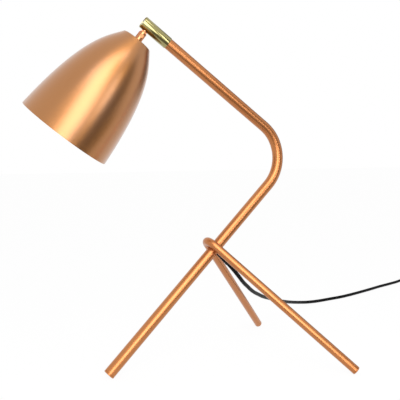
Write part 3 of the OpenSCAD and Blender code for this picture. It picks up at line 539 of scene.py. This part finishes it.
grain_way = add(tree, "ShaderNodeTangent", direction_type="UV_MAP", uv_map="round_and_along")
tree.links.new(grain_way.outputs["Tangent"], shader.inputs["Tangent"])
shader.inputs["Metallic"].default_value = 1
shader.inputs["Anisotropic"].default_value = 0.7
shader.inputs["Anisotropic Rotation"].default_value = 0.25
shader.inputs["Coat Weight"].default_value = 0.8
shader.inputs["Coat Roughness"].default_value = 0.3
shader.inputs["Coat IOR"].default_value = 1.9
fit(shade, shade_copper, "head", "copper_shade", "shade")

# White inside: sprayed reflector paint, smooth and slightly glossy.
shade_white, tree, shader = new_finish("reflector_paint_white")
place = add(tree, "ShaderNodeTexCoord")
spray = add(tree, "ShaderNodeTexNoise", {"Vector": place.outputs["Object"], "Scale": 600.0})
shader.inputs["Base Color"].default_value = linear("#EDEAE2")
shader.inputs["Roughness"].default_value = 0.4
bump = add(tree, "ShaderNodeBump", {
    "Height": spray.outputs["Fac"], "Strength": 0.2, "Distance": 0.0001
})
tree.links.new(bump.outputs["Normal"], shader.inputs["Normal"])
shade.data.materials.append(shade_white)
rim = shade_drop + shade_len - 0.0003
for face in shade.data.polygons:
    middle = knuckle.inverted() @ face.center
    outwards = (knuckle_axes.inverted() @ face.normal).xy.dot(middle.xy)
    if outwards < 0 and middle.z < rim:
        face.material_index = 1

# ---------------------------------------------------------------------------------------------
# Cord relief: moulded soft PVC, tapered and grooved so that it bends. Its collar lies on the
# mast, so it is hollowed to the tube, and its neck goes through the wall.
def cut(piece, cutter):
    """Takes one piece's room out of another, and removes the cutter."""
    bpy.ops.object.select_all(action="DESELECT")
    piece.select_set(True)
    bpy.context.view_layer.objects.active = piece
    hole = piece.modifiers.new("cut", "BOOLEAN")
    hole.operation = "DIFFERENCE"
    hole.solver = "EXACT"
    hole.object = cutter
    bpy.ops.object.modifier_apply(modifier="cut")
    bpy.data.objects.remove(cutter)


relief_neck, relief_bore, relief_len = 0.0039, 0.00302, 0.024
grooves, groove_apart = 5, 0.0038
relief_frame = frame_along(node_point, exit_ahead)
collar = [
    (relief_bore, 0.005), (relief_neck, 0.005), (relief_neck, 0.0055), (0.0045, 0.0058),
    (0.0045, 0.0096), (0.0043, 0.0099), (0.0040, 0.0102)
]
for i in range(grooves):
    low, body_r = 0.012 + groove_apart * i, 0.00395 - 0.00007 * i
    collar += [
        (body_r, low - 0.0004), (body_r - 0.0005, low), (body_r - 0.0005, low + 0.0014),
        (body_r, low + 0.0018)
    ]
tip = mast_r + relief_len
collar += [(0.0036, tip - 0.0004), (0.0033, tip), (relief_bore, tip), (relief_bore, 0.005)]
relief = turn("relief", collar, relief_frame)
saddle = turn("saddle", [(0, -0.02), (mast_r, -0.02), (mast_r, 0.02), (0, 0.02)],
              frame_along(node_point, mast_up), 96)
cut(saddle, turn("neck", [(0, 0), (relief_neck, 0), (relief_neck, 0.02), (0, 0.02)],
                 relief_frame))
cut(relief, saddle)
bpy.ops.object.shade_smooth_by_angle(angle=math.radians(32))
fit(relief, cord_pvc, "stand", "cord_black", "cord_relief")

# ---------------------------------------------------------------------------------------------
# Grip screw: a small plated socket screw in the mast under the wrap, which grips the relief.
grip_turn, grip_at = math.radians(20), 0.2195
mast_side = Vector((mast_up.z, 0, -mast_up.x))
grip_ahead = math.sin(grip_turn) * mast_side - math.cos(grip_turn) * sideways
grip_frame = frame_along(mast_foot + grip_at * mast_up, grip_ahead)
grip = turn("grip_head", [
    (0, 0), (0.0015, 0), (0.0015, 0.0076), (0.0025, 0.0076), (0.0025, 0.0089),
    (0.0024, 0.00918), (0.0021, 0.0093), (0, 0.0093)
], grip_frame)
cut(grip, turn("socket", [(0, 0.0083), (0.0013, 0.0083), (0.0013, 0.01), (0, 0.01)],
               grip_frame, 6))

# Bright copper plate: polished, with fine turning marks.
copper_bright, tree, shader = new_finish("copper_plate_polished")
place = add(tree, "ShaderNodeTexCoord")
marks = add(tree, "ShaderNodeTexNoise", {
    "Vector": place.outputs["Object"], "Scale": 900.0, "Detail": 2.0
})
tone = add(tree, "ShaderNodeMix", {
    0: marks.outputs["Fac"], 6: linear("#CE9068"), 7: linear("#BE7A4E")
}, data_type="RGBA")
tree.links.new(tone.outputs[2], shader.inputs["Base Color"])
shine = add(tree, "ShaderNodeMapRange", {
    "Value": marks.outputs["Fac"], "From Min": 0.3, "From Max": 0.7, "To Min": 0.14, "To Max": 0.24
})
tree.links.new(shine.outputs["Result"], shader.inputs["Roughness"])
shader.inputs["Metallic"].default_value = 1
fit(grip, copper_bright, "stand", "copper_cap", "grip_screw")

# ---------------------------------------------------------------------------------------------
# Axial screw: zinc-plated socket screw in the end of the arm. It holds the sleeve, and a spring
# washer under its head brakes it.
axle_r, head_r, head_low, head_high = 0.0025, 0.0045, 0.04245, 0.04465
axle = turn("axial_screw", [
    (0, 0.020), (axle_r - 0.0004, 0.020), (axle_r, 0.0204), (axle_r, head_low),
    (head_r, head_low), (head_r, head_high - 0.0004), (head_r - 0.0004, head_high),
    (0, head_high)
], sleeve_frame)
cut(axle, turn("socket", [
    (0, head_high - 0.0013), (0.0015, head_high - 0.0013), (0.0015, 0.046), (0, 0.046)
], sleeve_frame, 6))

# Zinc plate: bluish and slightly blotched, on fine machined marks.
steel, tree, shader = new_finish("zinc_plated_steel")
place = add(tree, "ShaderNodeTexCoord")
blotches = add(tree, "ShaderNodeTexNoise", {
    "Vector": place.outputs["Object"], "Scale": 350.0, "Detail": 3.0
})
tone = add(tree, "ShaderNodeMix", {
    0: blotches.outputs["Fac"], 6: linear("#B4B7BD"), 7: linear("#C3C0B4")
}, data_type="RGBA")
tree.links.new(tone.outputs[2], shader.inputs["Base Color"])
shine = add(tree, "ShaderNodeMapRange", {
    "Value": blotches.outputs["Fac"], "From Min": 0.3, "From Max": 0.7, "To Min": 0.24,
    "To Max": 0.38
})
tree.links.new(shine.outputs["Result"], shader.inputs["Roughness"])
shader.inputs["Metallic"].default_value = 1
fit(axle, steel, "stand", "steel_plain", "swivel_screw")

# ---------------------------------------------------------------------------------------------
# Lampholder: moulded white thermoset in two parts that screw together, a domed cap on the nipple
# and a barrel with a threaded skirt.
holder_top, holder_cap_len, holder_len, holder_r = 0.0307, 0.015, 0.026, 0.0135
dome = [
    (0.0085 + 0.005 * math.sin(a), 0.006 - 0.006 * math.cos(a))
    for a in [math.pi / 2 * i / 8 for i in range(9)]
]
holder_cap = turn("holder_dome", [
    (r, holder_top + z) for r, z in [(0.00502, 0)] + dome + [
        (holder_r, 0.0142), (holder_r - 0.0004, 0.015), (0.0115, 0.015), (0.0115, 0.0065),
        (0.0085, 0.0035), (0.00502, 0.0035), (0.00502, 0)
    ]
], knuckle, 96)
barrel = [(0, 0.002), (0.0016, 0.002), (0.0016, 0), (holder_r - 0.0004, 0), (holder_r, 0.0006)]
for i in range(6):
    low = 0.006 + 0.0027 * i
    barrel += [
        (holder_r, low), (holder_r - 0.0007, low + 0.0008), (holder_r - 0.0007, low + 0.0011),
        (holder_r, low + 0.0019)
    ]
barrel += [
    (holder_r, holder_len - 0.0006), (holder_r - 0.0006, holder_len), (0.0079, holder_len),
    (0.00752, holder_len - 0.0004), (0.00752, 0.004), (0, 0.004)
]
holder_barrel = turn("holder_barrel", [
    (r, holder_top + holder_cap_len + z) for r, z in barrel
], knuckle, 96)

# White thermoset: slightly glossy, with a faint flow of the moulding powder.
plastic_white, tree, shader = new_finish("moulded_thermoset_white")
place = add(tree, "ShaderNodeTexCoord")
powder = add(tree, "ShaderNodeTexNoise", {
    "Vector": place.outputs["Object"], "Scale": 450.0, "Detail": 2.0
})
tone = add(tree, "ShaderNodeMix", {
    0: powder.outputs["Fac"], 6: linear("#E4E0D5"), 7: linear("#ECE9E0")
}, data_type="RGBA")
tree.links.new(tone.outputs[2], shader.inputs["Base Color"])
shine = add(tree, "ShaderNodeMapRange", {
    "Value": powder.outputs["Fac"], "From Min": 0.3, "From Max": 0.7, "To Min": 0.28,
    "To Max": 0.4
})
tree.links.new(shine.outputs["Result"], shader.inputs["Roughness"])
fit(holder_cap, plastic_white, "head", "holder_plastic", "holder_cap")
fit(holder_barrel, plastic_white, "head", "holder_plastic", "holder_body")

# ---------------------------------------------------------------------------------------------
# Bulb: round opal glass, 45 mm across, blown in one piece with its neck.
bulb_low, bulb_r, neck_r, cone_r, cone_high = 0.0721, 0.0225, 0.0075, 0.01665, 0.0871
bulb_middle = cone_high + math.sqrt(bulb_r ** 2 - cone_r ** 2)
neck = [Vector(p) for p in (
    (neck_r, bulb_low), (neck_r, 0.0775), (0.0118, 0.0818), (cone_r, cone_high)
)]
blown = [(0, bulb_low)]
for i in range(12):
    t = i / 12
    spot = (
        (1 - t) ** 3 * neck[0] + 3 * t * (1 - t) ** 2 * neck[1] + 3 * t * t * (1 - t) * neck[2]
        + t ** 3 * neck[3]
    )
    blown.append((spot.x, spot.y))
low_angle = math.asin(cone_r / bulb_r)
for i in range(25):
    angle = low_angle + (math.pi - low_angle) * i / 24
    blown.append((bulb_r * math.sin(angle), bulb_middle - bulb_r * math.cos(angle)))
bulb = turn("bulb", blown, knuckle, 96)

# Opal glass: milky and glossy, a little uneven in its milk.
opal, tree, shader = new_finish("opal_glass")
place = add(tree, "ShaderNodeTexCoord")
milk = add(tree, "ShaderNodeTexNoise", {"Vector": place.outputs["Object"], "Scale": 60.0})
tone = add(tree, "ShaderNodeMix", {
    0: milk.outputs["Fac"], 6: linear("#EFEBE0"), 7: linear("#F7F5EE")
}, data_type="RGBA")
tree.links.new(tone.outputs[2], shader.inputs["Base Color"])
shader.inputs["Roughness"].default_value = 0.12
shader.inputs["Subsurface Weight"].default_value = 0.3
shader.inputs["Subsurface Radius"].default_value = (0.004, 0.004, 0.0035)
fit(bulb, opal, "head", "bulb_glass", "bulb_glass")


# ---------------------------------------------------------------------------------------------
# Switch: two moulded halves on the cord, rounded all over, with a short neck at each end. The
# rocker is the CAD's own.
def round_edges(piece, chosen, width, segments):
    """Rounds the edges whose two ends satisfy a test."""
    bpy.context.tool_settings.mesh_select_mode = (False, True, False)
    data = piece.data
    for part in (data.vertices, data.edges, data.polygons):
        for item in part:
            item.select = False
    for edge in data.edges:
        edge.select = chosen(*[data.vertices[v].co for v in edge.vertices])
    bpy.ops.object.mode_set(mode="EDIT")
    bpy.ops.mesh.bevel(offset=width, segments=segments, affect="EDGES")
    bpy.ops.mesh.select_all(action="SELECT")
    bpy.ops.mesh.normals_make_consistent(inside=False)
    bpy.ops.object.mode_set(mode="OBJECT")


def block(name, size, middle):
    """A box of a size round a middle, with its place in its mesh."""
    bpy.ops.object.select_all(action="DESELECT")
    bpy.ops.mesh.primitive_cube_add(size=1, location=middle)
    piece = bpy.context.object
    piece.name = name
    piece.scale = size
    bpy.ops.object.transform_apply(location=True, rotation=True, scale=True)
    return piece


def settle(piece, place):
    """Moves a piece made round the origin to its place, and smooths it."""
    bpy.ops.object.select_all(action="DESELECT")
    piece.select_set(True)
    bpy.context.view_layer.objects.active = piece
    piece.matrix_world = place
    bpy.ops.object.transform_apply(location=True, rotation=True, scale=True)
    bpy.ops.object.shade_smooth_by_angle(angle=math.radians(32))


switch_wide, switch_high, switch_split, switch_corner = 0.026, 0.017, 0.008, 0.0078
shell_len = switch_len - 0.012
switch_middle = switch_start + switch_len / 2 * switch_ahead
switch_place = (
    Matrix.Translation((switch_middle.x, switch_middle.y, 0))
    @ Matrix.Rotation(switch_turn, 4, "Z")
)

# Black moulded plastic: a fine grain from the mould, 0.4 mm as drawn, and a low sheen.
black_plastic, tree, shader = new_finish("moulded_plastic_black")
place = add(tree, "ShaderNodeTexCoord")
grain = add(tree, "ShaderNodeTexNoise", {
    "Vector": place.outputs["Object"], "Scale": 2500.0, "Detail": 1.0
})
shader.inputs["Base Color"].default_value = linear("#0F0F10")
shine = add(tree, "ShaderNodeMapRange", {
    "Value": grain.outputs["Fac"], "From Min": 0.3, "From Max": 0.7, "To Min": 0.34,
    "To Max": 0.5
})
tree.links.new(shine.outputs["Result"], shader.inputs["Roughness"])
bump = add(tree, "ShaderNodeBump", {
    "Height": grain.outputs["Fac"], "Strength": 0.25, "Distance": 0.00005
})
tree.links.new(bump.outputs["Normal"], shader.inputs["Normal"])
for name, node, low, high, rounded_z, round_r in (
    ("switch_lower", "switch_base", 0, switch_split, 0, 0.0012),
    ("switch_upper", "switch_cover", switch_split, switch_high, switch_high, 0.003),
):
    half = block(name, (shell_len, switch_wide, high - low), (0, 0, (low + high) / 2))
    round_edges(half, lambda a, b: abs(a.z - b.z) > 0.001, switch_corner, 8)
    round_edges(
        half, lambda a, b: abs(a.z - rounded_z) + abs(b.z - rounded_z) < 1e-5, round_r, 4
    )
    seam_z = low + high - rounded_z
    round_edges(half, lambda a, b: abs(a.z - seam_z) + abs(b.z - seam_z) < 1e-5, 0.0003, 2)
    if node == "switch_cover":
        cut(half, block("opening", (0.0186, 0.0106, 0.02), (0, 0, 0.019)))
    settle(half, switch_place)
    fit(half, black_plastic, "stand", "switch_black", node)
for side in (-1, 1):
    out = side * switch_ahead
    neck_start = switch_middle + (shell_len / 2 - 0.001) * out
    neck_piece = turn("switch_neck_" + ("near" if side < 0 else "far"), [
        (0.00305, 0), (0.0055, 0), (0.0055, 0.005), (0.0052, 0.006), (0.0046, 0.0068),
        (0.0042, 0.007), (0.00305, 0.007), (0.00305, 0)
    ], frame_along(neck_start, out))
    fit(neck_piece, black_plastic, "stand", "switch_black")

# ---------------------------------------------------------------------------------------------
# Plug: flat two-pin plug, moulded on the cord in one shot with its grooved relief. Ridges across
# its neck give the fingers a hold, and the pins are sleeved over their first 10 mm.
plug_t, plug_neck_t, plug_relief, plug_len = 0.0137, 0.0112, 0.022, 0.034
plug_neck_w, plug_cheek_w, plug_w = 0.016, 0.0325, 0.0353
bpy.ops.object.select_all(action="DESELECT")
bpy.ops.mesh.primitive_plane_add(size=1, rotation=(0, math.pi / 2, 0))
bpy.ops.object.transform_apply(location=True, rotation=True, scale=True)
plug = bpy.context.object
plug.name = "plug"
plug.scale = (1, plug_neck_w, plug_neck_t)
bpy.ops.object.transform_apply(location=True, rotation=True, scale=True)
bpy.ops.object.mode_set(mode="EDIT")
bpy.ops.mesh.select_all(action="SELECT")
for along, wider, thicker in (
    (0.0136, 1, 1), (0.0109, plug_cheek_w / plug_neck_w, plug_t / plug_neck_t),
    (0.0075, plug_w / plug_cheek_w, 1), (0.002, 1, 1)
):
    bpy.ops.mesh.extrude_region_move(TRANSFORM_OT_translate={"value": (along, 0, 0)})
    bpy.ops.transform.resize(value=(1, wider, thicker), center_override=(0, 0, 0))
bpy.ops.mesh.select_all(action="SELECT")
bpy.ops.mesh.normals_make_consistent(inside=False)
bpy.ops.object.mode_set(mode="OBJECT")
soft = plug.modifiers.new("edge", "BEVEL")
soft.width = 0.0018
soft.segments = 4
soft.limit_method = "ANGLE"
soft.angle_limit = math.radians(40)
bpy.ops.object.modifier_apply(modifier="edge")
plug_place = frame_along(plug_tail, plug_heading)
plug_side = Vector((-plug_heading.y, plug_heading.x, 0))
plug_flat = Matrix((plug_heading, plug_side, (0, 0, 1))).transposed().to_4x4()
settle(plug, Matrix.Translation(plug_tail + plug_relief * plug_heading) @ plug_flat)
fit(plug, black_plastic, "stand", "plug_black", "plug_body")
for i in range(4):
    ridge = block("plug_ridge_%d" % (i + 1), (0.0012, 0.0125, 0.0126), (0.003 + 0.0027 * i, 0, 0))
    round_edges(ridge, lambda a, b: True, 0.0004, 3)
    settle(ridge, Matrix.Translation(plug_tail + plug_relief * plug_heading) @ plug_flat)
    fit(ridge, black_plastic, "stand", "plug_black")
taper = [(0.00305, 0), (0.0035, 0), (0.0037, 0.0003)]
for i in range(5):
    low = 0.003 + 0.0036 * i
    body_r = 0.0037 + 0.0018 * low / plug_relief
    taper += [
        (body_r, low), (body_r - 0.0007, low + 0.0003), (body_r - 0.0007, low + 0.0015),
        (body_r, low + 0.0018)
    ]
taper += [(0.0055, plug_relief + 0.0005), (0.00305, plug_relief + 0.0005), (0.00305, 0)]
plug_tail_piece = turn("plug_relief", taper, plug_place)
fit(plug_tail_piece, black_plastic, "stand", "plug_black")

# Nickel plate on brass: a warm, bright metal.
nickel, tree, shader = new_finish("nickel_plated_brass")
place = add(tree, "ShaderNodeTexCoord")
wear = add(tree, "ShaderNodeTexNoise", {
    "Vector": place.outputs["Object"], "Scale": 500.0, "Detail": 3.0
})
tone = add(tree, "ShaderNodeMix", {
    0: wear.outputs["Fac"], 6: linear("#C9C4B6"), 7: linear("#B8AF98")
}, data_type="RGBA")
tree.links.new(tone.outputs[2], shader.inputs["Base Color"])
shader.inputs["Metallic"].default_value = 1
shader.inputs["Roughness"].default_value = 0.22
pin_r, shank_r, pin_len, pin_sleeve, pin_apart = 0.002, 0.00165, 0.019, 0.010, 0.0186
pin_start = plug_tail + (plug_relief + plug_len) * plug_heading
for side in (-1, 1):
    pin_frame = frame_along(pin_start + side * pin_apart / 2 * plug_side, plug_heading)
    name = "a" if side < 0 else "b"
    tip = [
        (pin_r * math.cos(a), pin_len - pin_r + pin_r * math.sin(a))
        for a in [math.pi / 2 * i / 8 for i in range(9)]
    ]
    pin = turn("pin_" + name, [
        (0, -0.0045), (shank_r, -0.0045), (shank_r, pin_sleeve), (pin_r, pin_sleeve)
    ] + tip[:-1] + [(0, pin_len)], pin_frame)
    fit(pin, nickel, "stand", "pin_metal", "plug_pins")
    guard = turn("pin_sleeve_" + name, [
        (shank_r, 0), (pin_r - seat_gap, 0), (pin_r - seat_gap, pin_sleeve - 0.0001),
        (shank_r, pin_sleeve - 0.0001), (shank_r, 0)
    ], pin_frame)
    fit(guard, black_plastic, "stand", "plug_black")

# ---------------------------------------------------------------------------------------------
# Coil tie: a soft strap round both layers of the coil, with rounded edges and a flat buckle.
tie_turn, tie_wide, tie_t = math.radians(250), 0.009, 0.0008
tie_room, tie_high = 0.0034, 0.0129
tie_low, tie_far = coil_inner - tie_room, coil_outer + tie_room
tie_place = (
    Matrix.Translation((coil_middle.x, coil_middle.y, 0)) @ Matrix.Rotation(tie_turn, 4, "Z")
)
tie_middle = ((tie_low + tie_far) / 2, 0, tie_t + tie_high / 2)
strap = block(
    "strap", (tie_far - tie_low + 2 * tie_t, tie_wide, tie_high + 2 * tie_t), tie_middle
)
round_edges(strap, lambda a, b: abs(a.y - b.y) > 0.001, 0.0022, 5)
room = block("room", (tie_far - tie_low, 2 * tie_wide, tie_high), tie_middle)
round_edges(room, lambda a, b: abs(a.y - b.y) > 0.001, 0.0014, 5)
cut(strap, room)
settle(strap, tie_place)
fit(strap, black_plastic, "stand", "cord_black", "coil_tie")

# ---------------------------------------------------------------------------------------------
# Weld beads: copper-plated with the tubes, and rippled as the weld was laid.
weld_bead, tree, shader = new_finish("weld_bead_copper_plated")
place = add(tree, "ShaderNodeTexCoord")
ripples = add(tree, "ShaderNodeTexNoise", {
    "Vector": place.outputs["Object"], "Scale": 800.0, "Detail": 2.0
})
tone = add(tree, "ShaderNodeMix", {
    0: ripples.outputs["Fac"], 6: linear("#B87248"), 7: linear("#A8653E")
}, data_type="RGBA")
tree.links.new(tone.outputs[2], shader.inputs["Base Color"])
shader.inputs["Metallic"].default_value = 1
shader.inputs["Roughness"].default_value = 0.36
bump = add(tree, "ShaderNodeBump", {
    "Height": ripples.outputs["Fac"], "Strength": 0.4, "Distance": 0.0003
})
tree.links.new(bump.outputs["Normal"], shader.inputs["Normal"])

# The pieces whose CAD solid has the right shape keep it, with the finish of the real material.
for finish, nodes in (
    (weld_bead, ("leg_weld",)),
    (copper_bright, ("knuckle_tongue", "knuckle_fork", "pivot_screw", "pivot_nut")),
    (brass, ("arm_bush", "holder_shell", "holder_contact", "switch_terminals")),
    (steel, ("stop_pin", "spring_washer", "shade_washer", "shade_nut", "switch_screws",
             "bulb_cap")),
    (plastic_white, ("head_lead",)),
    (cord_pvc, ("mast_lead",)),
    (black_plastic, ("switch_rocker",)),
):
    for name in nodes:
        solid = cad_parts[name]
        solid.data.materials.clear()
        solid.data.materials.append(finish)

# ---------------------------------------------------------------------------------------------
# Studio: a white table that runs out of sight in white surroundings, a tall soft box in front,
# a wide one above it, a narrow one on the right, and dark cards.
white_seen, table_side = 0.94, 40
bpy.ops.mesh.primitive_plane_add(size=table_side, location=(0, 0, 0))
table = bpy.context.object
table.name = "table_top"
table_white, tree, shader = new_finish("studio_table_white")
output = tree.nodes["Material Output"]
shader.inputs["Base Color"].default_value = linear("#FFFFFF")
shader.inputs["Roughness"].default_value = 0.9


def seen_direct(tree):
    """1 for rays of the camera, of reflections and through glass, 0 for scattered light."""
    path = add(tree, "ShaderNodeLightPath")
    either = add(tree, "ShaderNodeMath", {
        0: path.outputs["Is Camera Ray"], 1: path.outputs["Is Glossy Ray"]
    }, operation="ADD", use_clamp=True)
    return add(tree, "ShaderNodeMath", {
        0: either.outputs[0], 1: path.outputs["Is Transmission Ray"]
    }, operation="ADD", use_clamp=True).outputs[0]


glow = add(tree, "ShaderNodeEmission", {"Color": (1, 1, 1, 1), "Strength": 1.0})
share = add(tree, "ShaderNodeMath", {0: seen_direct(tree), 1: white_seen}, operation="MULTIPLY")
mixed = add(tree, "ShaderNodeMixShader", {
    0: share.outputs[0], 1: shader.outputs["BSDF"], 2: glow.outputs["Emission"]
})
tree.links.new(mixed.outputs["Shader"], output.inputs["Surface"])
table.data.materials.append(table_white)

world = bpy.data.worlds.new("studio")
bpy.context.scene.world = world
world.use_nodes = True
tree = world.node_tree
surroundings = tree.nodes["Background"]
surroundings.inputs["Color"].default_value = (1, 1, 1, 1)
strength = add(tree, "ShaderNodeMapRange", {
    "Value": seen_direct(tree), "From Min": 0.0, "From Max": 1.0, "To Min": 0.75, "To Max": 1.0
})
tree.links.new(strength.outputs["Result"], surroundings.inputs["Strength"])


def facing(spot, aim, upright):
    """Turn of a lamp or card that faces aim, with its Y side near upright."""
    back = (Vector(spot) - Vector(aim)).normalized()
    side = Vector(upright).cross(back).normalized()
    return Matrix((side, back.cross(side), back)).transposed().to_euler()


for name, spot, aim, wide, high, power in (
    ("box_above", (-0.09, -0.85, 1.2), (0, 0, 0.28), 1.2, 0.3, 3.5),
    ("box_front", (-0.33, -1.15, 0.55), (0, 0, 0.36), 0.65, 1.3, 11),
    ("box_right", (0.42, -1.25, 0.35), (0.05, 0, 0.41), 0.2, 0.5, 1.6),
):
    bpy.ops.object.light_add(type="AREA", location=spot, rotation=facing(spot, aim, (0, 0, 1)))
    lamp = bpy.context.object
    lamp.name = name
    lamp.data.shape = "RECTANGLE"
    lamp.data.size = wide
    lamp.data.size_y = high
    lamp.data.energy = power

# Cards: seen in reflections only. They give the tubes their dark edges, and the shade its dark
# band on the right.
flag_grey, tree, shader = new_finish("studio_flag_grey")
glow = add(tree, "ShaderNodeEmission", {"Color": (1, 0.95, 0.92, 1), "Strength": 0.25})
tree.links.new(glow.outputs["Emission"], tree.nodes["Material Output"].inputs["Surface"])
for name, spot, aim, wide, high in (
    ("card_back_right", (1.5, 0.6, 0.9), (0, 0, 0.3), 0.9, 1.8),
    ("card_front_right", (0.7, -0.8, 0.35), (-0.1, 0, 0.4), 0.6, 0.9),
    ("card_low", (0.15, -0.6, 0.001), (0.15, -0.6, 1), 1.0, 0.75),
):
    turned = facing(spot, aim, (0, 1, 0) if "low" in name else (0, 0, 1))
    bpy.ops.mesh.primitive_plane_add(size=1, location=spot, rotation=turned)
    card = bpy.context.object
    card.name = name
    card.scale = (wide, high, 1)
    card.data.materials.append(flag_grey)
    for sight in ("camera", "diffuse", "transmission", "volume_scatter", "shadow"):
        setattr(card, "visible_" + sight, False)
bpy.context.scene.view_settings.view_transform = "Standard"
